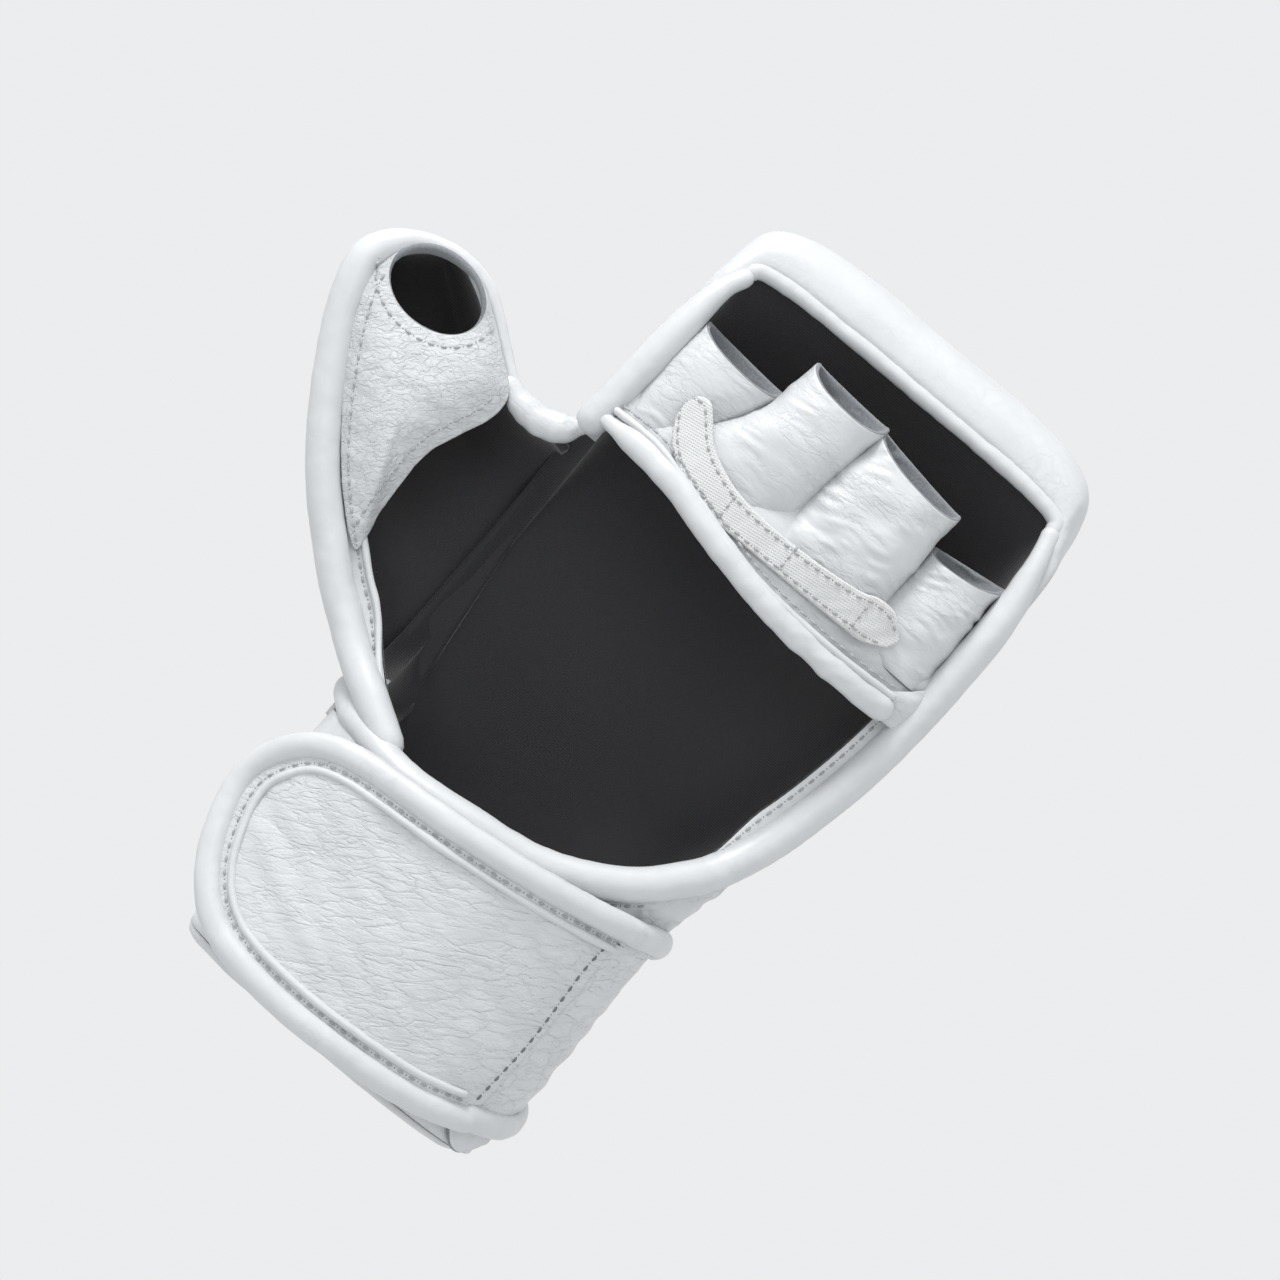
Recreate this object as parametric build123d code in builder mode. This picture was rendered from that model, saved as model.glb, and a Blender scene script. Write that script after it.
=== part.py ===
from build123d import *
import os
from math import radians, sqrt, tan

# Left-hand MMA glove standing on its cuff.
# Origin: centre of the wrist opening, on the plane that the cuff hem rests on.
# +Z runs from the wrist to the fingers, -Y is the palm side, -X is the thumb side.

os.makedirs("parts", exist_ok=True)

# --- driving dimensions, in millimetres ------------------------------------------------
LEATHER = 1.5            # leather skins
LINING = 1.0             # black inner lining
GAP = 0.3                # clearance between neighbouring layers

CUFF_WIDTH = 94.0        # outside of the cuff leather, thumb side to little side
CUFF_DEPTH = 66.0        # outside of the cuff leather, palm side to back
CUFF_CORNER = 28.0
CUFF_TOP = 64.0
HEM_HEIGHT = 3.0
CUFF_FOAM = 4.6
CUFF_JOINT = 0.4         # seam between the cuff and the hand

FLEX_Y, FLEX_Z = 20.0, 163.0      # knuckle hinge line, parallel to X
FLEX_CLEAR = 36.0                 # degrees of room in front of the knuckle hinge
THUMB_X, THUMB_Y = -45.8, 8.0     # thumb hinge line, parallel to Z
THUMB_CLEAR = 12.0                # degrees of room behind the thumb hinge
THUMB_JOINT = 0.5                 # gap between the hand and the thumb guard
THUMB_LOW = 71.2                  # lowest point of the thumb guard
THUMB_HOLE_CENTRE = (-88.0, 150.0)
THUMB_HOLE_RADII = (12.0, 10.0)
SHEATH_EDGE_X = -65.0             # open edge of the thumb sheath, in the palm
WEB_EDGE_X = -60.0                # the thumb guard has no palm wall on the hand side of this
STRAP_X, STRAP_Y = 40.0, -37.2    # strap hinge line, parallel to Z

PALM_EDGE_Y = -11.0      # where the side walls end towards the palm
LIP_Z = 216.5            # where the palm opening ends under the knuckle hood
ROLL_RADIUS = 4.3        # padded rolled edges
ROLL_ROOM = 0.3          # room left round a roll

STRAP_LOW, STRAP_HIGH = 3.0, 67.0
STRAP_LEFT = -53.0
STRAP_CORNER = 20.0
STRAP_CENTRE = (2.0, 86.0)        # centre of the strap's front curve
STRAP_INSIDE = 123.4              # radius of the strap's inner face about that centre

PALM_CENTRE = (11.0, 90.0)        # centre of the palm bar's curve
PALM_RADIUS = 116.0

BIG = 400.0              # larger than the whole glove, for cutting bodies

# Levels of the hand form: z, then thumb side, little side, palm side, back, corner radius.
OUTER = [
    (64.4, -46.5, 47.5, -33.0, 33.0, 28.0),
    (85.0, -46.0, 53.0, -31.0, 31.5, 27.0),
    (110.0, -45.5, 61.0, -30.0, 31.5, 26.0),
    (140.0, -45.3, 66.0, -30.0, 34.0, 26.0),
    (165.0, -44.8, 67.3, -28.0, 40.0, 26.0),
    (188.0, -44.0, 67.5, -27.0, 43.0, 26.0),
    (206.0, -42.0, 66.0, -24.0, 38.0, 24.0),
    (219.0, -36.0, 60.0, -13.0, 29.0, 17.0),
    (227.0, -26.0, 50.0, -4.0, 17.0, 9.0),
]
CAVITY = [
    (58.0, -39.0, 38.0, -25.0, 25.0, 22.0),
    (85.0, -39.0, 46.0, -24.0, 24.0, 21.0),
    (110.0, -39.0, 54.5, -24.0, 24.0, 21.0),
    (140.0, -39.0, 60.0, -24.0, 24.0, 21.0),
    (165.0, -38.5, 61.5, -24.0, 22.0, 20.0),
    (188.0, -38.0, 61.5, -24.0, 14.0, 16.0),
    (204.0, -35.5, 59.0, -24.0, 3.0, 11.0),
    (214.0, -29.0, 52.0, -24.0, -6.0, 7.0),
]

# The thumb form runs along its own axis, with the same kind of levels:
# distance along the axis, lower edge, upper edge, palm side, back, corner radius.
THUMB_PLANE = Plane(origin=(-45, 0, 111), x_dir=(0.70, 0, 0.714), z_dir=(-0.714, 0, 0.70))
THUMB_OUTER = [
    (-34.0, -24.0, 46.0, -16.0, 22.0, 14.0),
    (0.0, -33.5, 38.0, -18.0, 22.0, 15.0),
    (22.0, -34.0, 25.0, -18.0, 20.0, 15.0),
    (45.0, -29.0, 16.5, -18.0, 17.0, 14.0),
    (68.0, -22.0, 12.0, -17.0, 14.0, 12.0),
    (80.0, -14.0, 4.0, -12.0, 8.0, 7.0),
]
THUMB_CAVITY = [
    (-36.0, -17.0, 42.0, -13.0, 13.0, 11.0),
    (0.0, -26.5, 34.0, -15.5, 13.0, 12.0),
    (22.0, -27.0, 21.0, -15.5, 11.0, 12.0),
    (45.0, -22.0, 12.5, -15.5, 8.0, 10.0),
    (66.0, -15.0, 8.0, -14.5, 5.0, 8.0),
    (72.0, -11.0, 4.0, -12.0, 2.0, 6.0),
]

# Fingers: name, centre x, width of the sheath, height of its top edge.
FINGERS = [
    ("index", -22.6, 22.8, 189.0),
    ("middle", 2.0, 23.4, 200.0),
    ("ring", 27.4, 22.8, 197.0),
    ("little", 49.2, 18.8, 185.0),
]
SHEATH_LOW = 168.6
SHEATH_DEPTH = 21.0
SHEATH_LEATHER = 1.2


# --- helpers ---------------------------------------------------------------------------
def form(levels, grow=0.0, plane=Plane.XY):
    """Loft of rounded rectangles through the levels, grown outward; its far end grows too."""
    last = levels[-1][0]
    with BuildPart() as solid:
        for height, left, right, front, back, corner in levels:
            lift = grow if height == last else 0.0
            with BuildSketch(plane.offset(height + lift)):
                with Locations(((left + right) / 2, (front + back) / 2)):
                    RectangleRounded(right - left + 2 * grow, back - front + 2 * grow, corner + grow)
        loft()
    return solid.part


def block(low, high):
    """Plain box between two corners, used to keep or to cut away."""
    size = [b - a for a, b in zip(low, high)]
    with BuildPart(Plane(origin=low)) as solid:
        Box(*size, align=(Align.MIN, Align.MIN, Align.MIN))
    return solid.part


def prism_y(points, front=-BIG, back=BIG):
    """Outline given as (x, z), extended along Y from front to back."""
    with BuildPart() as solid:
        with BuildSketch(Plane.XZ.offset(-back)):
            with BuildLine():
                Polyline(*points, close=True)
            make_face()
        extrude(amount=back - front)
    return solid.part


def prism_x(points):
    """Outline given as (y, z), extended along X past both sides of the glove."""
    with BuildPart() as solid:
        with BuildSketch(Plane.YZ.offset(-BIG)):
            with BuildLine():
                Polyline(*points, close=True)
            make_face()
        extrude(amount=2 * BIG)
    return solid.part


def roll(points, radii, radius):
    """Round rolled edge along straight runs joined by tangent arcs."""
    with BuildPart() as solid:
        with BuildLine() as route:
            FilletPolyline(*points, radius=radii)
        with BuildSketch(Plane(origin=route.line @ 0, z_dir=route.line % 0)):
            Circle(radius)
        sweep()
    return solid.part


def trimmed(whole, cut=(), keep=None):
    """A solid kept inside one region and cut by others."""
    with BuildPart() as solid:
        add(whole)
        if keep is not None:
            add(keep, mode=Mode.INTERSECT)
        for cutter in cut:
            add(cutter, mode=Mode.SUBTRACT)
    return solid.part


def joined(*solids):
    """Several regions taken as one."""
    with BuildPart() as solid:
        for one in solids:
            add(one)
    return solid.part


def piece(name, whole, cut=(), keep=None):
    """One finished piece of the glove, written to its own file."""
    part = trimmed(whole, cut, keep)
    part.label = name
    export_step(part, f"parts/{name}.step")


# --- regions that divide the glove -----------------------------------------------------
flex_drop = (FLEX_Y + BIG) * tan(radians(FLEX_CLEAR))
below_knuckles = prism_x([
    (-BIG, -BIG), (BIG, -BIG), (BIG, FLEX_Z - GAP),
    (FLEX_Y, FLEX_Z - GAP), (-BIG, FLEX_Z - GAP - flex_drop),
])
above_knuckles = block((-BIG, -BIG, FLEX_Z + GAP), (BIG, BIG, BIG))

# The palm opening: its lower edge climbs from the cuff to the little-finger side.
palm_opening = prism_y(
    [(-BIG, CUFF_TOP), (5, CUFF_TOP), (30, 69), (48, 82), (56, 95), (60, 112), (BIG, 112),
     (BIG, LIP_Z), (-BIG, LIP_Z)],
    back=PALM_EDGE_Y,
)
thumb_doorway = block((-BIG, -BIG, CUFF_TOP), (-38.3, THUMB_Y, 152))

# --- rolled edges ----------------------------------------------------------------------
HEEL_ROUTE = [(-43, -8, 73), (-32, -28, 69.5), (8, -31, 70), (42, -27, 82), (57, -14, 99), (62, -13, 128)]
HEEL_RADII = [12, 60, 40, 22]
LITTLE_ROUTE = [(64.2, -14, 170), (64.6, -14, 186), (62, -13, 205)]
INDEX_ROUTE = [(-41, -14, 170), (-40.4, -14, 188), (-37, -13, 205)]
THUMB_ROUTE = [(-58, -13, 82), (-84, -13, 105), (-103, -13, 135), (-105.5, -12, 155), (-94, -10, 164.5),
               (-76, -8, 157)]
THUMB_RADII = [60, 40, 9, 12]
WEB_ROUTE = [(-50, 11, 147.5), (-60, 11, 148.5), (-70, 7, 154)]

edge_rolls = {
    "heel_roll": (HEEL_ROUTE, HEEL_RADII),
    "little_side_roll": (LITTLE_ROUTE, [60]),
    "index_side_roll": (INDEX_ROUTE, [60]),
    "thumb_edge_roll": (THUMB_ROUTE, THUMB_RADII),
    "web_roll": (WEB_ROUTE, [20]),
}
roll_rooms = {}
for name, (route, radii) in edge_rolls.items():
    piece(name, roll(route, radii, ROLL_RADIUS))
    roll_rooms[name] = roll(route, radii, ROLL_RADIUS + ROLL_ROOM)

# --- hand and knuckle hood: leather outside, foam between, lining inside ---------------
skin = trimmed(form(OUTER), [form(OUTER, -LEATHER)])
lining = trimmed(form(CAVITY, LINING), [form(CAVITY)])
padding = trimmed(form(OUTER, -LEATHER - GAP), [form(CAVITY, LINING + GAP)])

above_cuff = block((-BIG, -BIG, CUFF_TOP + CUFF_JOINT), (BIG, BIG, BIG))
hand_region = trimmed(below_knuckles, keep=above_cuff)
hand_cuts = [palm_opening, thumb_doorway, roll_rooms["heel_roll"]]
hood_cuts = [palm_opening, roll_rooms["little_side_roll"], roll_rooms["index_side_roll"]]

piece("back_leather", skin, hand_cuts, hand_region)
piece("back_foam", padding, hand_cuts, hand_region)
piece("hand_lining", lining, hand_cuts, hand_region)
piece("knuckle_leather", skin, hood_cuts, above_knuckles)
piece("knuckle_lining", lining, hood_cuts, above_knuckles)

# Four knuckle pads, one over each finger, divided half way between the fingers.
centres = [x for _, x, _, _ in FINGERS]
walls = [-BIG] + [(a + b) / 2 for a, b in zip(centres, centres[1:])] + [BIG]
for (finger, _, _, _), left, right in zip(FINGERS, walls, walls[1:]):
    bay = block((left + GAP, -BIG, FLEX_Z + GAP), (right - GAP, BIG, BIG))
    piece(f"knuckle_pad_{finger}", padding, hood_cuts, bay)


# --- finger sheaths and the leather across the palm ------------------------------------
def sheath(x, width, top):
    """Open leather tube that the finger goes through, standing on the palm bar's curve."""
    front = PALM_CENTRE[1] - sqrt(PALM_RADIUS**2 - (x - PALM_CENTRE[0])**2)
    with BuildPart() as tube:
        with BuildSketch(Plane.XY.offset(SHEATH_LOW)):
            with Locations((x, front + SHEATH_DEPTH / 2 - SHEATH_LEATHER)):
                Ellipse(width / 2, SHEATH_DEPTH / 2)
                Ellipse(width / 2 - SHEATH_LEATHER, SHEATH_DEPTH / 2 - SHEATH_LEATHER,
                        mode=Mode.SUBTRACT)
        extrude(amount=top - SHEATH_LOW)
    return tube.part


def palm_band(inside, outside, outline):
    """Part of an upright curved band across the palm, limited by an (x, z) outline."""
    with BuildPart() as band:
        with BuildSketch():
            with Locations(PALM_CENTRE):
                Circle(PALM_RADIUS + outside)
                Circle(PALM_RADIUS + inside, mode=Mode.SUBTRACT)
        extrude(amount=BIG)
    return trimmed(band.part, keep=prism_y(outline, back=0))


for finger, x, width, top in FINGERS:
    piece(f"{finger}_sheath", sheath(x, width, top))

piece("finger_base_panel", palm_band(0, 1.3, [
    (-36, 158), (54, 149), (54, SHEATH_LOW - GAP), (-36, SHEATH_LOW - GAP)]))
piece("palm_bar", palm_band(1.6, 3.8, [
    (-36, 157.8), (0, 155), (24, 150.5), (54, 146), (54, 153), (24, 157), (0, 161), (-36, 165.3)]))
piece("palm_bar_piping", palm_band(1.6, 4.4, [
    (-36, 155.2), (0, 152.4), (24, 147.9), (54, 143.4), (54, 145.7), (24, 150.2), (0, 154.7), (-36, 157.5)]))
piece("grip_patch", palm_band(1.6, 3.2, [
    (-27, 166.4), (0, 161.6), (24, 157.6), (44, 155), (49, 158), (47, 163), (24, 166), (0, 166.4),
    (-20, 168.2), (-27, 168)]))
piece("side_tab", palm_band(1.6, 3.4, [(46, 136), (52, 137), (53, 142.8), (46, 143.8)]))

# --- thumb guard -----------------------------------------------------------------------
thumb_side = THUMB_X - THUMB_JOINT
relief_depth = 60.0
relief_reach = relief_depth * tan(radians(THUMB_CLEAR))
with BuildPart() as thumb_relief:
    with BuildSketch():
        with BuildLine():
            Polyline((thumb_side, THUMB_Y), (thumb_side - relief_reach, THUMB_Y + relief_depth),
                     (BIG, THUMB_Y + relief_depth), (BIG, THUMB_Y), close=True)
        make_face()
    extrude(amount=BIG)
web_clearance = block((WEB_EDGE_X, -BIG, 0), (BIG, THUMB_Y, BIG))
palm_side = block((SHEATH_EDGE_X, -BIG, 0), (BIG, PALM_EDGE_Y, BIG))
guard_region = block((-BIG, PALM_EDGE_Y, THUMB_LOW), (thumb_side, BIG, BIG))
sheath_region = block((-BIG, -BIG, THUMB_LOW), (thumb_side, PALM_EDGE_Y - GAP, BIG))

with BuildPart() as thumb_hole:
    with BuildSketch(Plane.XZ):
        with Locations(THUMB_HOLE_CENTRE):
            Ellipse(*THUMB_HOLE_RADII)
    extrude(amount=BIG)


def thumb_form(levels, grow=0.0):
    return form(levels, grow, THUMB_PLANE)


thumb_skin = trimmed(thumb_form(THUMB_OUTER), [thumb_form(THUMB_OUTER, -LEATHER)])
thumb_inside = trimmed(thumb_form(THUMB_CAVITY, LINING), [thumb_form(THUMB_CAVITY)])
thumb_padding = trimmed(thumb_form(THUMB_OUTER, -LEATHER - GAP), [thumb_form(THUMB_CAVITY, LINING + GAP)])
thumb_cuts = [thumb_relief.part, web_clearance, roll_rooms["thumb_edge_roll"], roll_rooms["web_roll"]]

piece("thumb_leather", thumb_skin, thumb_cuts, guard_region)
piece("thumb_foam", thumb_padding, thumb_cuts, guard_region)
piece("thumb_lining", thumb_inside, thumb_cuts, guard_region)
piece("thumb_sheath", thumb_skin, thumb_cuts + [palm_side, thumb_hole.part], sheath_region)


# --- cuff ------------------------------------------------------------------------------
def cuff_ring(outside, inside, low, high):
    """Ring that follows the cuff, from one offset of its outline to another."""
    with BuildPart() as ring:
        with BuildSketch(Plane.XY.offset(low)):
            RectangleRounded(CUFF_WIDTH + 2 * outside, CUFF_DEPTH + 2 * outside, CUFF_CORNER + outside)
            RectangleRounded(CUFF_WIDTH + 2 * inside, CUFF_DEPTH + 2 * inside, CUFF_CORNER + inside,
                             mode=Mode.SUBTRACT)
        extrude(amount=high - low)
    return ring.part


foam_out = -LEATHER - GAP
foam_in = foam_out - CUFF_FOAM
lining_out = foam_in - GAP
cuff_low = HEM_HEIGHT + GAP
piece("cuff_leather", cuff_ring(0, -LEATHER, cuff_low, CUFF_TOP), [roll_rooms["heel_roll"]])
piece("cuff_foam", cuff_ring(foam_out, foam_in, cuff_low, CUFF_TOP), [roll_rooms["heel_roll"]])
piece("cuff_lining", cuff_ring(lining_out, lining_out - LINING, cuff_low, CUFF_TOP))
piece("cuff_hem", cuff_ring(0.2, lining_out - LINING, 0, HEM_HEIGHT))
piece("cuff_flap", cuff_ring(1.7, 0.4, 1, 62), keep=block((18, -BIG, 0), (49, 0, BIG)))
piece("loop_patch", cuff_ring(1.5, 0.4, 8, 60), keep=block((-40, -BIG, 0), (15, -20, BIG)))

# --- strap -----------------------------------------------------------------------------
# Its root is sewn round the little-finger side and the back; its free end crosses the palm side.
root_region = joined(block((STRAP_X + 1, -BIG, 0), (BIG, BIG, BIG)), block((-30, 0, 0), (BIG, BIG, BIG)))
piece("strap_root", cuff_ring(6.0, 2.2, STRAP_LOW, STRAP_HIGH - 4), keep=root_region)


def strap_outline(inset):
    """Face view of the free end, (x, z), with a rounded end on the thumb side."""
    low, high = STRAP_LOW + inset, STRAP_HIGH - inset
    left, right = STRAP_LEFT + inset, STRAP_X - 1.4
    corner = STRAP_CORNER - inset / 2
    with BuildPart() as solid:
        with BuildSketch(Plane.XZ):
            with BuildLine():
                Line((right, high), (left + corner, high))
                RadiusArc((left + corner, high), (left, high - corner), -corner)
                Line((left, high - corner), (left, low + corner))
                RadiusArc((left, low + corner), (left + corner, low), -corner)
                Line((left + corner, low), (right, low))
                Line((right, low), (right, high))
            make_face()
        extrude(amount=BIG)
    return solid.part


def strap_layer(inside, outside):
    """Curved band of the strap between two depths, counted outward from its inner face."""
    with BuildPart() as band:
        with BuildSketch():
            with Locations(STRAP_CENTRE):
                Circle(STRAP_INSIDE + outside)
                Circle(STRAP_INSIDE + inside, mode=Mode.SUBTRACT)
        extrude(amount=STRAP_HIGH + 1)
    return band.part


whole = strap_outline(0)
in_binding = strap_outline(7)
in_piping = strap_outline(9.5)
hook_side = block((-BIG, -BIG, 0), (5, BIG, BIG))
piece("hook_patch", strap_layer(0, 1.0), keep=trimmed(strap_outline(8), keep=hook_side))
piece("strap_backing", strap_layer(1.2, 2.2), keep=whole)
piece("strap_binding", strap_layer(2.4, 5.2), [strap_outline(6.8)], whole)
piece("strap_piping", strap_layer(2.4, 4.8), [strap_outline(9.3)], in_binding)
piece("strap_panel", strap_layer(2.4, 4.2), keep=in_piping)
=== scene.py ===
import math

import bmesh
import bpy
from mathutils import Matrix, Vector, noise
from mathutils.bvhtree import BVHTree


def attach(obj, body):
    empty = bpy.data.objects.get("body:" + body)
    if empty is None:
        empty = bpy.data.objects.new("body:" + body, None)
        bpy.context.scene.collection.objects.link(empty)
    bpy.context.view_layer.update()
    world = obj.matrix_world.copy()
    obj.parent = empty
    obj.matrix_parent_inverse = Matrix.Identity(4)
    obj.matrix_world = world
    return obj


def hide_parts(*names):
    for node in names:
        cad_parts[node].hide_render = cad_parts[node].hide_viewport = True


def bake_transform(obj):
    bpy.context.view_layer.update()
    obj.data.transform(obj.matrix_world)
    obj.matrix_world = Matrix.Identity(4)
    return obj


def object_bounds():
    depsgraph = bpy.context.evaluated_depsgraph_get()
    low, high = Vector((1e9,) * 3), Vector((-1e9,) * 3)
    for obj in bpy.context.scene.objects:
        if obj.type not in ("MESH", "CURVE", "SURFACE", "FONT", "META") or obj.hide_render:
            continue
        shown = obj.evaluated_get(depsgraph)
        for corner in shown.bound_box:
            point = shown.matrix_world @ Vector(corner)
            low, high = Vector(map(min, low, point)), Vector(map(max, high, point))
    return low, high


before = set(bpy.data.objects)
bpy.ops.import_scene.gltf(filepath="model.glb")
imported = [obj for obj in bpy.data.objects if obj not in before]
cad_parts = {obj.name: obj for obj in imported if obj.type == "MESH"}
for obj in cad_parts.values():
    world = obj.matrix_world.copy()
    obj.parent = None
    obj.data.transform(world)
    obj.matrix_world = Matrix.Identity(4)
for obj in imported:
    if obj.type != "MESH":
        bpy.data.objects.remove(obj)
cad_low, cad_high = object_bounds()
MM = (cad_high.z - cad_low.z) / 227.0  # one millimetre of the glove's own scale, in metres


PALMWARD = Vector((0, -1, 0))
BACKWARD = Vector((0, 1, 0))


# --- small helpers -----------------------------------------------------------------------
def lerp(a, b, t):
    return a + (b - a) * t


def smooth(edge0, edge1, x):
    """0 before edge0, 1 after edge1, and a smooth S between them."""
    t = min(max((x - edge0) / (edge1 - edge0), 0.0), 1.0)
    return t * t * (3.0 - 2.0 * t)


def spline(points, t, closed=False):
    """Point on a Catmull-Rom curve through the points, t from 0 to 1; works on tuples of any length."""
    n = len(points)
    spans = n if closed else n - 1
    s = min(max(t, 0.0), 1.0) * spans
    i = min(int(s), spans - 1)
    f = s - i

    def at(k):
        return points[k % n] if closed else points[min(max(k, 0), n - 1)]

    p0, p1, p2, p3 = at(i - 1), at(i), at(i + 1), at(i + 2)
    if not closed and i == 0:
        p0 = tuple(2 * a - b for a, b in zip(p1, p2))
    if not closed and i == n - 2:
        p3 = tuple(2 * b - a for a, b in zip(p1, p2))
    return tuple(
        0.5 * (2 * b + (c - a) * f + (2 * a - 5 * b + 4 * c - d) * f * f + (3 * b - a - 3 * c + d) * f ** 3)
        for a, b, c, d in zip(p0, p1, p2, p3)
    )


def curve(points, count, closed=False):
    """Evenly spaced points, in millimetres, along the smooth curve through the given ones."""
    fine = [Vector(spline(points, i / 400, closed)) for i in range(401)]
    run = [0.0]
    for a, b in zip(fine, fine[1:]):
        run.append(run[-1] + (b - a).length)
    out, k = [], 0
    steps = count if closed else count - 1
    for i in range(count):
        want = run[-1] * i / steps
        while k < 399 and run[k + 1] < want:
            k += 1
        gap = run[k + 1] - run[k]
        out.append(fine[k].lerp(fine[k + 1], (want - run[k]) / gap if gap else 0.0))
    return out


def length(points):
    return sum((b - a).length for a, b in zip(points, points[1:]))


def fbm(p, size):
    """Smooth noise about 0, with features about size millimetres across."""
    return noise.fractal(p / size, 1.0, 2.0, 3)


def add_object(name, verts, faces, material):
    """Smooth-shaded mesh object from points in millimetres."""
    mesh = bpy.data.meshes.new(name)
    mesh.from_pydata([v * MM for v in verts], [], faces)
    mesh.materials.append(material)
    mesh.update()
    mesh.polygons.foreach_set("use_smooth", [True] * len(mesh.polygons))
    piece = bpy.data.objects.new(name, mesh)
    bpy.context.scene.collection.objects.link(piece)
    return piece


def border_of(rows, cols, wrap):
    """Index loops round the edge of a grid."""
    def at(i, j):
        return i * cols + j % cols
    if wrap:
        return [[at(0, j) for j in range(cols)], [at(rows - 1, j) for j in range(cols)][::-1]]
    loop = [at(0, j) for j in range(cols)] + [at(i, cols - 1) for i in range(1, rows)]
    loop += [at(rows - 1, j) for j in range(cols - 2, -1, -1)] + [at(i, 0) for i in range(rows - 2, 0, -1)]
    return [loop]


def grid_normals(grid, wrap, flip):
    rows, cols = len(grid), len(grid[0])
    normals = []
    for i in range(rows):
        line = []
        for j in range(cols):
            if wrap:
                across = grid[i][(j + 1) % cols] - grid[i][j - 1]
            else:
                across = grid[i][min(j + 1, cols - 1)] - grid[i][max(j - 1, 0)]
            along = grid[min(i + 1, rows - 1)][j] - grid[max(i - 1, 0)][j]
            n = across.cross(along)
            n = n.normalized() if n.length > 1e-9 else Vector((0, -1, 0))
            line.append(-n if flip else n)
        normals.append(line)
    return normals


def panel(name, grid, material, thick=0.0, wrap=False, flip=False, relief=None, back=None):
    """Leather panel over a grid of points in millimetres. The thickness is laid behind the face, and the
    edges are rounded. relief(point) raises the face; back is the material of the hidden side."""
    rows, cols = len(grid), len(grid[0])
    normals = grid_normals(grid, wrap, flip)
    front = [grid[i][j] + normals[i][j] * (relief(grid[i][j]) if relief else 0.0)
             for i in range(rows) for j in range(cols)]
    flat = [n for line in normals for n in line]
    span = cols if wrap else cols - 1
    faces = []
    for i in range(rows - 1):
        for j in range(span):
            a, b = i * cols + j, i * cols + (j + 1) % cols
            quad = (a, b, b + cols, a + cols)
            faces.append(quad[::-1] if flip else quad)
    verts, count = list(front), rows * cols
    if thick:
        verts += [p - n * thick for p, n in zip(front, flat)]
        faces += [tuple(k + count for k in f[::-1]) for f in faces]
        inner_faces = len(faces) // 2
        for loop in border_of(rows, cols, wrap):
            first = len(verts)
            for k in loop:
                i, j = divmod(k, cols)
                inward = Vector()
                if i in (0, rows - 1):
                    inward += grid[1 if i == 0 else rows - 2][j] - grid[i][j]
                if not wrap and j in (0, cols - 1):
                    inward += grid[i][1 if j == 0 else cols - 2] - grid[i][j]
                middle = (verts[k] + verts[k + count]) / 2
                verts.append(middle - inward.normalized() * thick * 0.32 if inward.length else middle)
            n = len(loop)
            for m in range(n):
                a, b = loop[m], loop[(m + 1) % n]
                c, d = first + m, first + (m + 1) % n
                quads = [(b, a, c, d), (d, c, a + count, b + count)]
                faces += [q[::-1] for q in quads] if flip else quads
    piece = add_object(name, verts, faces, material)
    if back is not None and thick:
        piece.data.materials.append(back)
        for k in range(inner_faces, 2 * inner_faces):
            piece.data.polygons[k].material_index = 1
        for k in range(2 * inner_faces, len(faces)):
            piece.data.polygons[k].material_index = 1
    return piece


def tube(name, path, radius, material, depth=None, sides=20, closed=False, up=Vector((0, 1, 0)), relief=None):
    """Rolled edge along a path in millimetres. radius may be a function of the place along it, 0 to 1;
    depth is its size along up, as a share of the radius. relief(point) swells or pinches it."""
    n = len(path)
    rings = []
    for i, p in enumerate(path):
        t = i / (n if closed else n - 1)
        r = radius(t) if callable(radius) else radius
        ahead = path[(i + 1) % n] if closed or i < n - 1 else path[i]
        behind = path[i - 1] if closed or i > 0 else path[i]
        tangent = (ahead - behind).normalized()
        side = tangent.cross(up)
        side = side.normalized() if side.length > 1e-6 else Vector((1, 0, 0))
        lift = side.cross(tangent).normalized()
        ring = []
        for k in range(sides):
            a = 2 * math.pi * k / sides
            out = side * math.cos(a) + lift * (math.sin(a) * (depth or 1.0))
            q = p + out * r
            ring.append(q + out.normalized() * relief(q) if relief else q)
        rings.append(ring)
    if not closed:  # round ends
        def cap(ring, centre, outward, r):
            return [[centre + (q - centre) * s + outward * r * h for q in ring]
                    for s, h in ((0.86, 0.5), (0.5, 0.86), (0.12, 0.99))]
        r0 = (rings[0][0] - path[0]).length
        r1 = (rings[-1][0] - path[-1]).length
        start = cap(rings[0], path[0], (path[0] - path[1]).normalized(), r0)
        end = cap(rings[-1], path[-1], (path[-1] - path[-2]).normalized(), r1)
        rings = start[::-1] + rings + end
    verts = [q for ring in rings for q in ring]
    m = len(rings)
    faces = []
    for i in range(m if closed else m - 1):
        for k in range(sides):
            a, b = i * sides + k, i * sides + (k + 1) % sides
            c, d = (i + 1) % m * sides + (k + 1) % sides, (i + 1) % m * sides + k
            faces.append((a, b, c, d))
    if not closed:
        faces.append(tuple(range(sides))[::-1])
        faces.append(tuple((m - 1) * sides + k for k in range(sides)))
    return add_object(name, verts, faces, material)


def offset_path(path, distance):
    """The path moved sideways, seen on the palm; distance may be a function of the place along it, 0 to 1."""
    out = []
    last = len(path) - 1
    for i, p in enumerate(path):
        tangent = path[min(i + 1, last)] - path[max(i - 1, 0)]
        reach = distance(i / last) if callable(distance) else distance
        out.append(p + tangent.cross(BACKWARD).normalized() * reach)
    return out


def smoothed(path, times=12):
    """The path with its small kinks averaged out; the ends stay."""
    for _ in range(times):
        path = [path[0]] + [(a + b * 2 + c) / 4 for a, b, c in zip(path, path[1:], path[2:])] + [path[-1]]
    return path


def part_of(path, start, end):
    """Stretch of a path between two shares of its length."""
    n = len(path) - 1
    return path[round(start * n):round(end * n) + 1]


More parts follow.
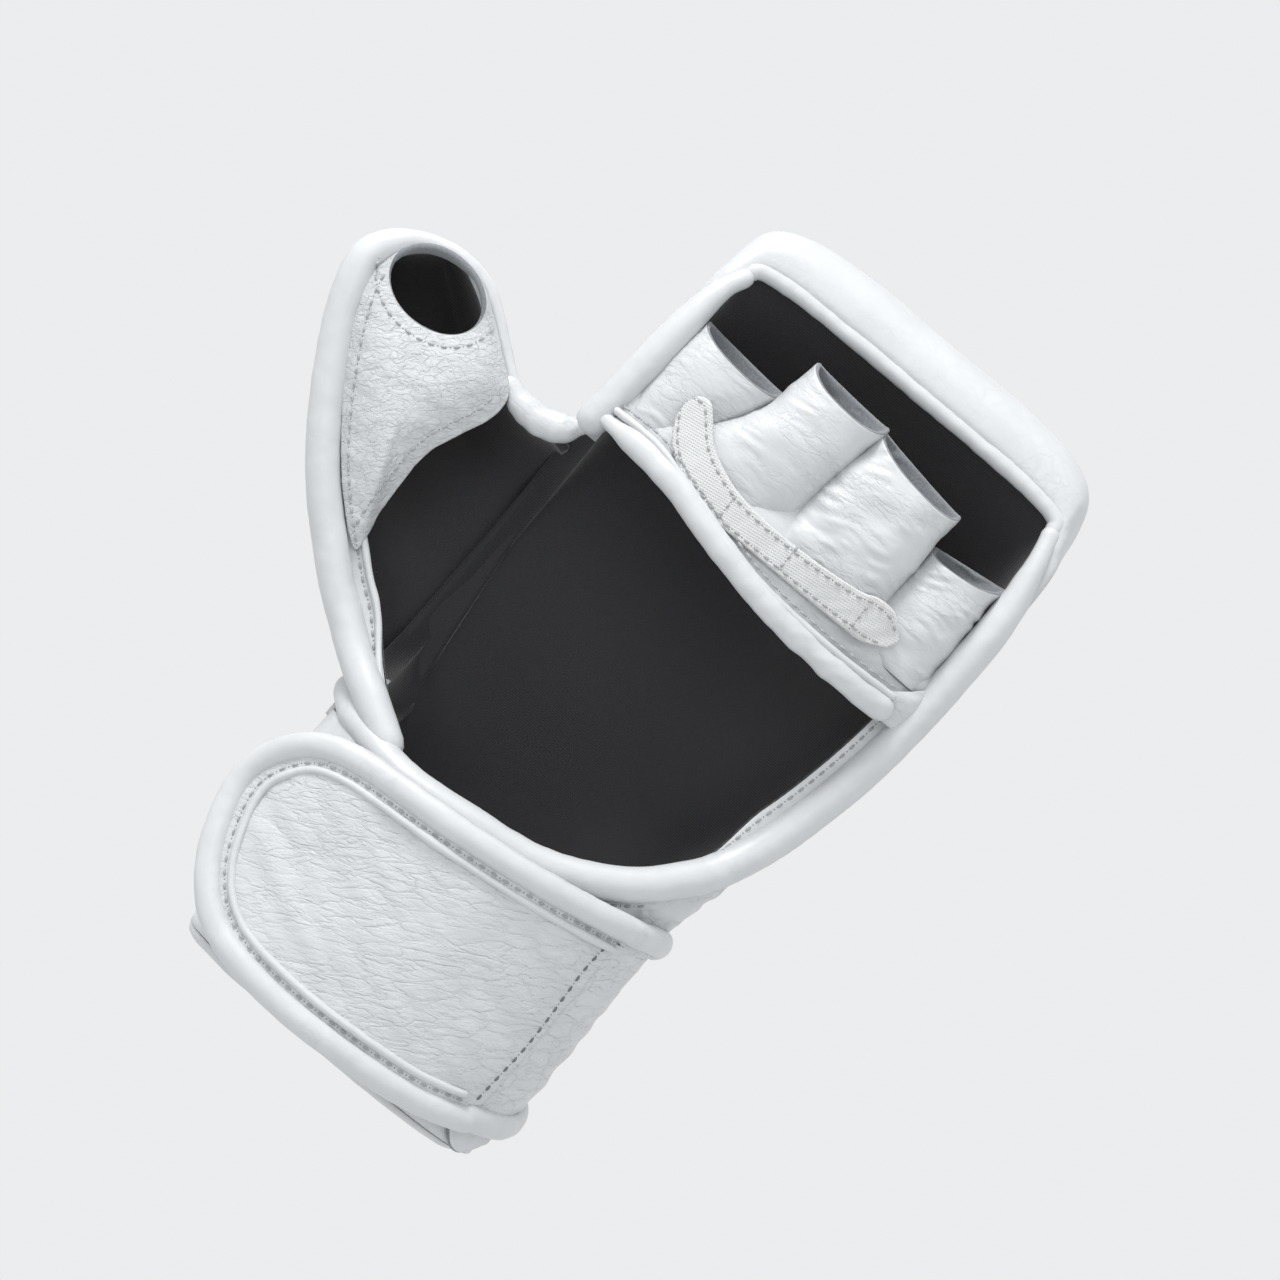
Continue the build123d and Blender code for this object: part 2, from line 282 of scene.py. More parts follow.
def joined(name, pieces):
    """One mesh object from several, which are removed."""
    mesh = bpy.data.meshes.new(name)
    bm = bmesh.new()
    materials = []
    for piece in pieces:
        first = len(bm.faces)
        bm.from_mesh(piece.data)
        bm.faces.ensure_lookup_table()
        for k in range(first, len(bm.faces)):
            m = piece.data.materials[bm.faces[k].material_index]
            if m not in materials:
                materials.append(m)
            bm.faces[k].material_index = materials.index(m)
    bm.to_mesh(mesh)
    bm.free()
    for m in materials:
        mesh.materials.append(m)
    for piece in pieces:
        bpy.data.objects.remove(piece)
    whole = bpy.data.objects.new(name, mesh)
    bpy.context.scene.collection.objects.link(whole)
    return whole


STITCH_PITCH = 3.4
THREAD = 0.33       # radius of the thread
THREAD_SINK = 0.12  # how far it is pulled into the leather
HOLE_SHADE_RINGS = ((-0.25, 0.15), (0.03, 0.21), (0.06, 0.1))  # height and radius of the rings of a needle hole's painted shade disc
REACH = 60.0        # how far off the pieces a stitch is looked up from


def stitches(name, path, on, facing, pitch=STITCH_PITCH, thread_material=None):
    """Row of thread stitches laid on the pieces in on, seen from the side that facing points to,
    with a small dark disc of painted shade for the needle hole at each end of a stitch."""
    trees = [BVHTree.FromPolygons([v.co / MM for v in piece.data.vertices],
                                  [p.vertices for p in piece.data.polygons]) for piece in on]

    def settle(p):
        best = None
        for tree in trees:
            hit = tree.ray_cast(p + facing * REACH, -facing, 2 * REACH)
            if hit[0] is not None and (best is None or (hit[0] - best[0]).dot(facing) > 0):
                best = (hit[0], hit[1] if hit[1].dot(facing) > 0 else -hit[1])
        return best or (p, facing)

    count = max(2, round(length(path) / pitch))
    fine = curve([tuple(p) for p in path], count * 6 + 1)
    verts, faces, hole_shade_points, hole_shade_faces = [], [], [], []
    ring = [(math.cos(2 * math.pi * k / 8), math.sin(2 * math.pi * k / 8)) for k in range(8)]
    for s in range(count):
        first = len(verts)
        spots = [settle(fine[s * 6 + k]) for k in range(1, 6)]
        for k, (p, n) in enumerate(spots):
            q = spots[min(k + 1, 4)][0] - spots[max(k - 1, 0)][0]
            side = q.cross(n).normalized() if q.length else Vector((1, 0, 0))
            t = (k - 2) / 2
            rise = THREAD * (0.9 - 1.5 * t * t) - THREAD_SINK
            fat = THREAD * (1.0 - 0.45 * t * t)
            for c, d in ring:
                verts.append(p + n * (rise + d * fat) + side * c * fat)
        for k in range(4):
            for m in range(8):
                a, b = first + k * 8 + m, first + k * 8 + (m + 1) % 8
                faces.append((a, b, b + 8, a + 8))
        faces.append(tuple(first + m for m in range(8))[::-1])
        faces.append(tuple(first + 32 + m for m in range(8)))
        # Needle hole: a small dark disc, painted shade where the thread dives into the leather.
        p, n = settle(fine[s * 6])
        side = n.orthogonal().normalized()
        other = n.cross(side)
        base = len(hole_shade_points)
        for lift, size in HOLE_SHADE_RINGS:
            hole_shade_points += [p + n * lift + (side * c + other * d) * size for c, d in ring]
        for k in range(2):
            for m in range(8):
                a, b = base + k * 8 + m, base + k * 8 + (m + 1) % 8
                hole_shade_faces.append((a, b, b + 8, a + 8))
        hole_shade_faces.append(tuple(base + m for m in range(8))[::-1])
        hole_shade_faces.append(tuple(base + 16 + m for m in range(8)))
    thread = add_object(name + "_thread", verts, faces, thread_material or THREAD_MATERIAL)
    dark = add_object(name + "_holes", hole_shade_points, hole_shade_faces, HOLE_SHADE_MATERIAL)
    return joined(name, [thread, dark])


# --- materials ---------------------------------------------------------------------------
def new_material(name):
    material = bpy.data.materials.new(name)
    material.use_nodes = True
    tree = material.node_tree
    shader = tree.nodes["Principled BSDF"]
    return material, tree, shader


def node(tree, kind, inputs=None, **settings):
    made = tree.nodes.new(kind)
    for key, value in settings.items():
        setattr(made, key, value)
    for key, value in (inputs or {}).items():
        if isinstance(value, bpy.types.NodeSocket):
            tree.links.new(value, made.inputs[key])
        else:
            made.inputs[key].default_value = value
    return made


def noise_node(tree, place, size, detail):
    """Noise with features about size millimetres across."""
    return node(tree, "ShaderNodeTexNoise", {"Vector": place, "Scale": 1 / (size * MM), "Detail": detail})


def mixed(tree, share, first, second, **settings):
    made = node(tree, "ShaderNodeMixRGB", {"Fac": share, "Color1": first, "Color2": second}, **settings)
    return made.outputs["Color"]


def ramp(tree, factor, stops):
    made = node(tree, "ShaderNodeValToRGB", {"Fac": factor})
    ramp_stops = made.color_ramp.elements
    while len(ramp_stops) < len(stops):
        ramp_stops.new(0.5)
    for stop, (place, colour) in zip(ramp_stops, stops):
        stop.position = place
        stop.color = (*colour, 1.0) if len(colour) == 3 else colour
    return made.outputs["Color"]


def bump(tree, height, distance, strength=1.0, under=None):
    inputs = {"Height": height, "Distance": distance, "Strength": strength}
    if under is not None:
        inputs["Normal"] = under
    return node(tree, "ShaderNodeBump", inputs).outputs["Normal"]


def leather(name, colour, grain_depth=0.05, crease=4.0, crease_depth=0.1, patchy=0.5, stretch=(1, 1, 1),
            turn=0.0, rough=0.42, soft_depth=0.5):
    """White cow leather: fine pebble grain, wandering creases crease mm apart that come and go, painted shade
    in the crease valleys, faint tone changes. patchy is how much of the surface stays free of creases."""
    material, tree, shader = new_material(name)
    place = node(tree, "ShaderNodeTexCoord").outputs["Object"]
    turned = node(tree, "ShaderNodeMapping", {"Vector": place, "Rotation": (0, -turn, 0),
                                              "Scale": [1 / s for s in stretch]},
                  vector_type="TEXTURE").outputs["Vector"]
    wander = noise_node(tree, turned, crease * 0.9, 4.0)
    bent = mixed(tree, 0.75 * crease * MM, turned, wander.outputs["Color"], blend_type="LINEAR_LIGHT")
    soft = noise_node(tree, place, 13, 4.0)
    masked = noise_node(tree, turned, crease * 3.2, 3.0)
    bare = ramp(tree, masked.outputs["Fac"], [(patchy - 0.14, (0, 0, 0)), (patchy + 0.12, (1, 1, 1))])
    normal = bump(tree, soft.outputs["Fac"], soft_depth * MM, 0.5)
    heights = []
    for scale, depth in ((1.0, crease_depth), (2.4, crease_depth * 0.45)):
        lines = node(tree, "ShaderNodeTexVoronoi", {"Vector": bent, "Scale": scale / (crease * MM)},
                     feature="DISTANCE_TO_EDGE")
        valley = ramp(tree, lines.outputs["Distance"], [(0.0, (0, 0, 0)), (0.07, (0.6, 0.6, 0.6)),
                                                        (0.22, (1, 1, 1))])
        kept = mixed(tree, bare, (1, 1, 1, 1), valley)
        heights.append(kept)
        normal = bump(tree, kept, depth * MM, 1.0, normal)
    wave = noise_node(tree, turned, 1.7, 5.0)
    normal = bump(tree, wave.outputs["Fac"], grain_depth * 2.2 * MM, 0.8, normal)
    cells = node(tree, "ShaderNodeTexVoronoi", {"Vector": place, "Scale": 1 / (0.85 * MM)},
                 feature="SMOOTH_F1")
    normal = bump(tree, cells.outputs["Distance"], grain_depth * MM, 0.7, normal)
    tree.links.new(normal, shader.inputs["Normal"])
    darker = tuple(c * 0.94 for c in colour)
    tone = ramp(tree, soft.outputs["Fac"], [(0.3, darker), (0.62, colour)])
    # Painted shade: the base colour is 7% darker in the valleys of the first crease layer, where shade falls.
    crease_shade_colour = mixed(tree, heights[0], (*[c * 0.93 for c in colour], 1.0), tone)
    tree.links.new(crease_shade_colour, shader.inputs["Base Color"])
    shine = node(tree, "ShaderNodeMapRange", {"Value": wave.outputs["Fac"], "From Min": 0.3, "From Max": 0.7,
                                              "To Min": rough - 0.06, "To Max": rough + 0.08})
    tree.links.new(shine.outputs["Result"], shader.inputs["Roughness"])
    shader.inputs["Specular IOR Level"].default_value = 0.5
    return material


def suede(name, colour):
    """Flesh side of the leather, seen at cut edges."""
    material, tree, shader = new_material(name)
    place = node(tree, "ShaderNodeTexCoord").outputs["Object"]
    nap = noise_node(tree, place, 0.5, 5.0)
    tone = ramp(tree, nap.outputs["Fac"], [(0.3, tuple(c * 0.7 for c in colour)), (0.7, colour)])
    tree.links.new(tone, shader.inputs["Base Color"])
    tree.links.new(bump(tree, nap.outputs["Fac"], 0.2 * MM, 0.8), shader.inputs["Normal"])
    shader.inputs["Roughness"].default_value = 0.95
    shader.inputs["Sheen Weight"].default_value = 0.3
    return material


WAVE_SCALE = 0.314   # Blender's wave texture repeats once in this much of a unit at scale 1


def woven(name, colour, pitch, depth, rough=0.85, contrast=0.75, sheen=0.2, across=(0, 0, 0)):
    """Fine plain weave with threads pitch mm apart."""
    material, tree, shader = new_material(name)
    place = node(tree, "ShaderNodeTexCoord").outputs["Object"]
    turned = node(tree, "ShaderNodeMapping", {"Vector": place, "Rotation": across}).outputs["Vector"]
    waves = []
    for direction in ("X", "Z"):
        wave = node(tree, "ShaderNodeTexWave", {"Vector": turned, "Scale": WAVE_SCALE / (pitch * MM),
                                                "Distortion": 0.6, "Detail": 1.0, "Detail Scale": 2.0},
                    bands_direction=direction)
        waves.append(wave.outputs["Fac"])
    both = node(tree, "ShaderNodeMath", {0: waves[0], 1: waves[1]}, operation="MAXIMUM").outputs["Value"]
    fuzz = noise_node(tree, place, 3, 6.0)
    tone = ramp(tree, both, [(0.1, tuple(c * contrast for c in colour)), (0.8, colour)])
    cloudy = mixed(tree, fuzz.outputs["Fac"], tone, (*[c * 0.9 for c in colour], 1.0))
    tree.links.new(cloudy, shader.inputs["Base Color"])
    soft = bump(tree, fuzz.outputs["Fac"], 0.3 * MM, 0.4)
    tree.links.new(bump(tree, both, depth * MM, 0.9, soft), shader.inputs["Normal"])
    shader.inputs["Roughness"].default_value = rough
    shader.inputs["Sheen Weight"].default_value = sheen
    return material


def plain(name, colour, rough):
    material, tree, shader = new_material(name)
    place = node(tree, "ShaderNodeTexCoord").outputs["Object"]
    nap = noise_node(tree, place, 0.4, 2.0)
    tone = ramp(tree, nap.outputs["Fac"], [(0.3, tuple(c * 0.85 for c in colour)), (0.7, colour)])
    tree.links.new(tone, shader.inputs["Base Color"])
    tree.links.new(bump(tree, nap.outputs["Fac"], 0.05 * MM, 0.5), shader.inputs["Normal"])
    shader.inputs["Roughness"].default_value = rough
    return material


WHITE = (0.60, 0.615, 0.627)
SMOOTH = leather("smooth_leather", WHITE, grain_depth=0.02, crease=7, crease_depth=0.03, patchy=0.6,
                 rough=0.36)
FOLDED = leather("folded_leather", WHITE, grain_depth=0.035, crease=3.4, crease_depth=0.10, patchy=0.5,
                 stretch=(0.5, 1, 1.5), rough=0.34)
PEBBLED = leather("pebbled_leather", WHITE, grain_depth=0.09, crease=2.2, crease_depth=0.13, patchy=0.34,
                  stretch=(0.6, 1, 1.2), turn=math.radians(40), rough=0.34)
CREASED = leather("creased_leather", WHITE, grain_depth=0.04, crease=3.6, crease_depth=0.15, patchy=0.36,
                  stretch=(0.36, 0.55, 1.15), turn=math.radians(27), rough=0.37)
EDGE = leather("edge_leather", WHITE, grain_depth=0.02, crease=7, crease_depth=0.03, patchy=0.55, rough=0.4,
               soft_depth=0.3)
BACK = leather("back_leather_face", WHITE, grain_depth=0.03, crease=5, crease_depth=0.05, patchy=0.52,
               rough=0.38)
SUEDE = suede("cut_edge_suede", (0.24, 0.255, 0.27))
LINING = woven("black_lining_cloth", (0.014, 0.014, 0.017), 0.55, 0.08, rough=0.6, contrast=0.6, sheen=0.35)
GRIP = woven("grip_textile_face", (0.66, 0.67, 0.675), 0.7, 0.16, rough=0.75, contrast=0.9,
             across=(0, 0.15, 0))
WEBBING = woven("strap_webbing_cloth", (0.55, 0.56, 0.57), 1.2, 0.25)
LOOPS = woven("loop_pile", (0.56, 0.57, 0.58), 0.7, 0.5, rough=0.95)
HOOKS = plain("hook_tape_face", (0.5, 0.51, 0.52), 0.5)
THREAD_MATERIAL = plain("sewing_thread", (0.40, 0.41, 0.42), 0.7)
SEAM_MATERIAL = plain("seam_thread", (0.17, 0.175, 0.18), 0.8)
# Painted shade: the dark grey of the shadow inside the needle holes.
HOLE_SHADE_MATERIAL = plain("needle_hole_painted_shade", (0.3, 0.3, 0.31), 0.9)

# --- shared shapes -----------------------------------------------------------------------
def hood_grid(rows, shares, across):
    """Grid of a padded hood, from rows of (apex y, apex shift, edge y of the low side, edge y of the high
    side, low side x, low side z, high side x, high side z, power). The apex shift is a vector added at the
    crown, as (x, z)."""
    grid = []
    for share in shares:
        apex, lift_x, lift_z, low_y, high_y, low_x, low_z, high_x, high_z, power = spline(rows, share)
        line = []
        for j in range(across):
            angle = math.pi * j / (across - 1)
            reach = max(math.sin(angle), 0.0) ** (2 / power)
            c = math.cos(angle)
            side = (1 - math.copysign(abs(c) ** (2 / power), c)) / 2
            edge_y = lerp(low_y, high_y, side)
            line.append(Vector((lerp(low_x, high_x, side) + lift_x * reach, lerp(edge_y, apex, reach),
                                lerp(low_z, high_z, side) + lift_z * reach)))
        grid.append(line)
    return grid


def even_shares(rows, count):
    """Shares of the row table that space the crown of the hood evenly."""
    crown = [Vector((r[0], (r[5] + r[7]) / 2 + r[1], (r[6] + r[8]) / 2 + r[2])) for r in
             (spline(rows, i / 300) for i in range(301))]
    run = [0.0]
    for a, b in zip(crown, crown[1:]):
        run.append(run[-1] + max((b - a).length, 0.02))
    shares, k = [], 0
    for i in range(count):
        want = run[-1] * i / (count - 1)
        while k < 299 and run[k + 1] < want:
            k += 1
        shares.append(min((k + (want - run[k]) / (run[k + 1] - run[k])) / 300, 1.0))
    return shares


def hand_row(apex_y, apex_z, right_y, left_y, edge_z, left, right, power):
    """Hood row whose sides are level: the little-finger side is its low side."""
    return apex_y, 0.0, apex_z - edge_z, right_y, left_y, right, edge_z, left, edge_z, power


def between(low, high, rows, columns, bulge=None):
    """Grid ruled between two curves given as points; bulge(u, v) is added to y."""
    a, b = curve(low, columns), curve(high, columns)
    grid = []
    for i in range(rows):
        v = i / (rows - 1)
        line = [p.lerp(q, v) for p, q in zip(a, b)]
        if bulge:
            line = [p + Vector((0, bulge(j / (columns - 1), v), 0)) for j, p in enumerate(line)]
        grid.append(line)
    return grid


def inset(grid, depth):
    """The grid moved to its hidden side by depth(i share, j share)."""
    normals = grid_normals(grid, False, False)
    rows, cols = len(grid), len(grid[0])
    return [[grid[i][j] - normals[i][j] * depth(i / (rows - 1), j / (cols - 1)) for j in range(cols)]
            for i in range(rows)]


def hollow(name, outer, inner, relief, material, lining, leather_rim):
    """Closed padded shell between an outer and an inner grid, leather outside and lining inside. Its rim is
    leather where leather_rim(centre), in millimetres, is true."""
    piece = panel(name, outer, material, thick=1.0, relief=relief, back=lining)
    faces = piece.data.polygons
    inner_end = 2 * (len(outer) - 1) * (len(outer[0]) - 1)
    for k in range(inner_end, len(faces)):
        faces[k].material_index = 0 if leather_rim(faces[k].center / MM) else 1
    count = len(outer) * len(outer[0])
    flat = [p for line in inner for p in line]
    for k, p in enumerate(flat):
        piece.data.vertices[count + k].co = p * MM
    border = border_of(len(outer), len(outer[0]), False)[0]
    middle = sum(flat, Vector()) / count
    for m, k in enumerate(border):
        a, b = piece.data.vertices[k].co, piece.data.vertices[count + k].co
        away = ((a + b) / 2 - middle * MM).normalized() * (a - b).length * 0.2
        piece.data.vertices[2 * count + m].co = (a + b) / 2 + away
    return piece


def third_corner(a, b, from_a, from_b):
    """Point of the plane at two distances from a and b, on the right of the way from a to b."""
    way = b - a
    along = (from_a ** 2 - from_b ** 2 + way.length_squared) / (2 * way.length)
    across = math.sqrt(max(from_a ** 2 - along ** 2, 0.0))
    way.normalize()
    return a + way * along + Vector((way.y, -way.x)) * across


def unrolled_cut(grid):
    """Smallest rectangle, in millimetres, round a ruled panel that is unrolled flat."""
    low, high = grid[0], grid[-1]
    a, b = Vector((0.0, 0.0)), Vector((0.0, (high[0] - low[0]).length))
    outline = [a, b]
    for j in range(len(low) - 1):
        a = third_corner(a, b, (low[j + 1] - low[j]).length, (low[j + 1] - high[j]).length)
        b = third_corner(a, b, (high[j + 1] - low[j + 1]).length, (high[j + 1] - high[j]).length)
        outline += [a, b]
    boxes = []
    for degrees in range(90):
        turn = Matrix.Rotation(math.radians(degrees), 2)
        turned = [turn @ p for p in outline]
        boxes.append([max(q) - min(q) for q in ([p.x for p in turned], [p.y for p in turned])])
    return min(boxes, key=lambda box: box[0] * box[1])


def at(*points):
    return [Vector(p) for p in points]


# --- hand and knuckle hood ---------------------------------------------------------------
HOOD_OUTSIDE = [
    hand_row(33, 62, -8, -8, 62, -46.5, 47.5, 2.6),
    hand_row(32, 74, -9.5, -9, 74, -46.3, 49, 2.6),
    hand_row(31.5, 88, -11, 13, 88, -46, 52.5, 2.6),
    hand_row(31.5, 110, -11, 16, 110, -45.5, 59.5, 2.6),
    hand_row(34, 138, -11, 12, 138, -45.3, 65.5, 2.6),
    hand_row(40, 165, -12, -12, 163, -44.8, 67.3, 2.6),
    hand_row(43, 188, -13, -13, 180, -44, 67.5, 2.7),
    hand_row(39, 206, -13, -13, 193, -43.5, 67.4, 3.0),
    hand_row(29, 220.5, -13, -13, 200, -43, 66.8, 3.6),
    hand_row(14, 228.4, -12.5, -12.5, 204, -42, 65.2, 4.2),
    hand_row(1, 227.6, -12.5, -12.5, 206, -40.5, 63.6, 4.6),
    hand_row(-7.5, 223, -12, -12, 207, -38.6, 61.8, 4.8),
    hand_row(-10, 216.5, -11.5, -11.5, 207, -36.5, 60.5, 4.4),
    hand_row(-8.5, 213.5, -10.5, -10.5, 207.5, -36, 60, 4.6),
]
HOOD_INSIDE = [
    hand_row(25, 62, -7, -7, 62, -39.5, 40.5, 2.6),
    hand_row(24.8, 74, -8.5, -8, 74, -39.5, 42.5, 2.6),
    hand_row(24.5, 88, -10, 16, 88, -39.5, 46.5, 2.6),
    hand_row(24, 110, -10.5, 19, 110, -39, 53.5, 2.6),
    hand_row(24, 138, -10.5, 15, 138, -39, 59.5, 2.6),
    hand_row(22, 165, -11.5, -11.5, 163, -38.6, 61.2, 2.6),
    hand_row(15, 185, -12, -12, 180, -38, 61.5, 2.6),
    hand_row(9, 198, -12, -12, 191, -37.3, 61, 2.7),
    hand_row(3, 205, -12, -12, 197, -36.8, 60.5, 2.9),
    hand_row(-1, 209, -12, -12, 201, -36.3, 60, 3.2),
    hand_row(-4, 211.3, -12, -12, 203.5, -36, 59.7, 3.6),
    hand_row(-6, 212.4, -11.8, -11.8, 205, -35.8, 59.5, 4.0),
    hand_row(-7.3, 212.9, -11.2, -11.2, 206, -35.7, 59.4, 4.4),
    hand_row(-8, 213, -10.4, -10.4, 206.8, -35.6, 59.3, 4.6),
]
CHANNELS = (-10.3, 14.7, 38.3)   # x of the channels between the four knuckle pads
KNUCKLE_SEAM = 161               # height of the seam across the knuckles


def hand_relief(p):
    value = 0.35 * fbm(p, 26.0)
    back = smooth(2, 14, p.y)
    for x in CHANNELS:
        groove = smooth(166, 178, p.z) * smooth(224, 206, p.z) * smooth(-6, 4, p.y)
        value -= 2.0 * math.exp(-((p.x - x) / 2.4) ** 2) * groove
    value -= 1.6 * math.exp(-((p.z - KNUCKLE_SEAM) / 2.2) ** 2) * back
    value += 1.1 * math.sin(math.pi * min(max((p.z - 168) / 50, 0), 1)) * back
    folds = noise.noise(Vector((p.x / 16, p.y / 7, p.z / 16)))
    value += 0.5 * folds * smooth(150, 170, p.z) * (1 - back)
    return value


HOOD_ROWS, HOOD_COLUMNS = 176, 190
shares = even_shares(HOOD_OUTSIDE, HOOD_ROWS)
hood_outer = hood_grid(HOOD_OUTSIDE, shares, HOOD_COLUMNS)
hood_inner = hood_grid(HOOD_INSIDE, shares, HOOD_COLUMNS)
shell = hollow("glove_shell", hood_outer, hood_inner, hand_relief, BACK, LINING,
               lambda c: c.y < -4)

# Seams over the back: one across the knuckles and one down each channel.
crown = HOOD_COLUMNS // 2
seam_row = min(range(HOOD_ROWS), key=lambda i: abs(hood_outer[i][crown].z - KNUCKLE_SEAM))
seam_path = [p + BACKWARD * 0.2 for p in hood_outer[seam_row][30:161]]
knuckle_seam = stitches("knuckle_seam_stitches", [p + Vector((0, 0, 2.6)) for p in seam_path], [shell],
                        BACKWARD)
channel_rows = []
for x in CHANNELS:
    line = [Vector((x + 3.4, 40, z)) for z in (172, 180, 188, 196, 204, 212)]
    channel_rows.append(stitches(f"channel_stitches_{len(channel_rows)}", line, [shell], BACKWARD))

# --- thumb guard -------------------------------------------------------------------------
def thumb_row(apex, edge, low, high, power=2.7):
    """Hood row of the thumb guard: its crown isn't shifted, and both its edges are at the same y."""
    return apex, 0, 0, edge, edge, high[0], high[1], low[0], low[1], power


THUMB_OUTSIDE = [
    thumb_row(24, -7, (-33, 67), (-43, 149.5), 4.6),
    thumb_row(23.5, -9, (-45, 70.8), (-46.5, 150), 3.4),
    thumb_row(22.5, -11, (-59.7, 81.2), (-52, 149.5)),
    thumb_row(22, -11.5, (-74, 92), (-60, 151)),
    thumb_row(20.5, -11.5, (-88.2, 106.9), (-67, 155)),
    thumb_row(18, -11.5, (-98.8, 122.2), (-74, 159.5)),
    thumb_row(14.5, -11.5, (-106, 133.8), (-81, 164.5)),
    thumb_row(10, -11.5, (-110.6, 142.6), (-87.5, 167.6), 2.8),
    thumb_row(4, -11.5, (-112.3, 149.5), (-93, 168.6), 2.9),
    thumb_row(-3, -11.5, (-111.5, 154.5), (-96, 168.6), 3.0),
    thumb_row(-9, -11.5, (-109.8, 156.5), (-97.5, 167.8), 3.2),
]


def thumb_relief(p):
    near = smooth(-40, -58, p.x)
    wrinkle = noise.noise(Vector((p.x / 9, p.y / 12, p.z / 22)))
    return (0.45 * fbm(p, 22.0) + 0.45 * wrinkle) * near


thumb_shares = even_shares(THUMB_OUTSIDE, 96)
thumb_outer = hood_grid(THUMB_OUTSIDE, thumb_shares, 120)
thumb_inner = inset(thumb_outer, lambda v, u: lerp(5.5, 2.2, smooth(0.75, 1.0, v))
                    * lerp(0.45, 1.0, smooth(0.0, 0.25, u) * smooth(1.0, 0.75, u)))
guard = hollow("thumb_guard", thumb_outer, thumb_inner, thumb_relief, SMOOTH, LINING,
               lambda c: c.x < -46)

THUMB_ROLL = curve([(-30, -24, 66.5), (-40.5, -20, 72.5), (-49.5, -15.5, 77.5), (-57.5, -13.5, 83),
                    (-64.5, -13, 88), (-72, -13, 94.5), (-79.3, -13, 101.3), (-86.3, -13, 109),
                    (-93.3, -13, 118.5),
                    (-99.8, -13, 128.8), (-105.4, -13, 139.2), (-108.6, -12.8, 147.8), (-109.2, -12.2, 154),
                    (-105.8, -11.4, 160.6), (-100, -10.8, 165.2), (-92, -10.4, 167.4), (-84, -10, 166.6),
                    (-77.5, -9.8, 163), (-70, -10, 157.2), (-64.5, -10.5, 153), (-60, -11.3, 150.6)], 160)


def roll_wear(p):
    return 0.16 * fbm(p, 11.0) + 0.10 * noise.noise(Vector((p.x / 3, p.y / 9, p.z / 3)))


def thumb_roll_radius(t):
    return lerp(4.4, 2.0, smooth(0.66, 0.78, t))


thumb_roll = tube("thumb_roll", THUMB_ROLL, thumb_roll_radius, EDGE, relief=roll_wear, sides=28)

# Sheath over the thumb's palm side, round the thumb hole.
HOLE = Vector((-91, -17.0, 157.8))
SHEATH_EDGE = curve([(-66, -13.8, 97), (-75, -14.6, 103.6), (-81.5, -15, 110.2), (-88.4, -15, 118.5),
                     (-94.8, -15, 126.8), (-100.4, -15, 135), (-104.4, -15, 143.5), (-105.8, -14.5, 151),
                     (-104.3, -13.5, 158.5), (-99.5, -12.5, 164), (-92, -12, 166.6), (-84.5, -12, 166.2),
                     (-77.8, -12, 162.4), (-70, -13, 156.6), (-63.5, -13.5, 151.5), (-61, -14, 147.4),
                     (-61.4, -15, 141.8), (-64.8, -15.5, 133.8), (-67.3, -15.5, 127), (-67.9, -15, 120.8),
                     (-67.3, -14, 108.6)], 220, closed=True)


def hole_point(p):
    way = Vector((p.x - HOLE.x, 0, p.z - HOLE.z)).normalized()
    reach = 1 / math.sqrt((way.x / 13.0) ** 2 + (way.z / 9.6) ** 2)
    return HOLE + way * reach + Vector((0, -1.0 * way.x * 0.6, 0))


def sheath_ring(v):
    line = []
    for p in SHEATH_EDGE:
        q = hole_point(p)
        r = q.lerp(p, v)
        span = 1.0 - math.exp(-(p - q).length / 28)
        line.append(r + Vector((0, -5.5 * math.sin(math.pi * v) * span, 0)))
    return line


def thumb_pebble(p):
    cells = noise.noise(Vector((p.x / 2.6, 0, p.z / 1.7)))
    folds = noise.noise(Vector((p.x / 9, 0, p.z / 4)))
    middle = smooth(158, 140, p.z)
    return (0.16 * cells + 0.28 * folds) * lerp(0.3, 1.0, middle)


thumb_sheath_grid = [sheath_ring(i / 60) for i in range(61)]
thumb_sheath = panel("thumb_sheath_face", thumb_sheath_grid, PEBBLED, thick=1.5, wrap=True,
                     relief=thumb_pebble, back=SUEDE)
around_hole = [math.radians(d) for d in range(196, 372, 6)]
hole_stitches = stitches("thumb_hole_stitches",
                         [HOLE + Vector((math.cos(a) * 16.2, 0, math.sin(a) * 12.6)) for a in around_hole],
                         [thumb_sheath], PALMWARD, pitch=3.2)
def widening(start, full, over):
    """Distance beside an edge that grows from start to full over the first share of the way."""
    return lambda t: lerp(start, full, smooth(0.0, over, t))


def flange(line, inner, outer, over):
    """Flat strip beside a rolled edge, from inner to outer millimetres off it, widening from its start."""
    grid = []
    for i in range(6):
        row = offset_path(line, widening(inner, lerp(outer, inner, i / 5), over))
        grid.append([p + BACKWARD * 0.6 for p in row])
    return grid


thumb_strip = panel("thumb_edge_strip", flange(part_of(THUMB_ROLL, 0.0, 0.36), -2.6, -8.6, 0.6), SMOOTH,
                    thick=1.2, back=LINING)
strip_seam = offset_path(part_of(THUMB_ROLL, 0.07, 0.67), widening(-3.4, -6.3, 0.22))
thumb_roll_stitches = stitches("thumb_roll_stitches", strip_seam, [thumb_sheath, thumb_strip], PALMWARD)
thumb_welt = tube("thumb_roll_welt", offset_path(part_of(THUMB_ROLL, 0.04, 0.6), widening(-2.6, -8.2, 0.3)),
                  0.9, EDGE, relief=roll_wear, sides=12)
sheath_edge_stitches = stitches("sheath_edge_stitches", at((-69.6, 0, 101), (-70.6, 0, 110), (-71, 0, 121),
                                (-70.3, 0, 128), (-67.8, 0, 135), (-64.8, 0, 142), (-64.2, 0, 147)),
                                [thumb_sheath], PALMWARD, pitch=3.2)

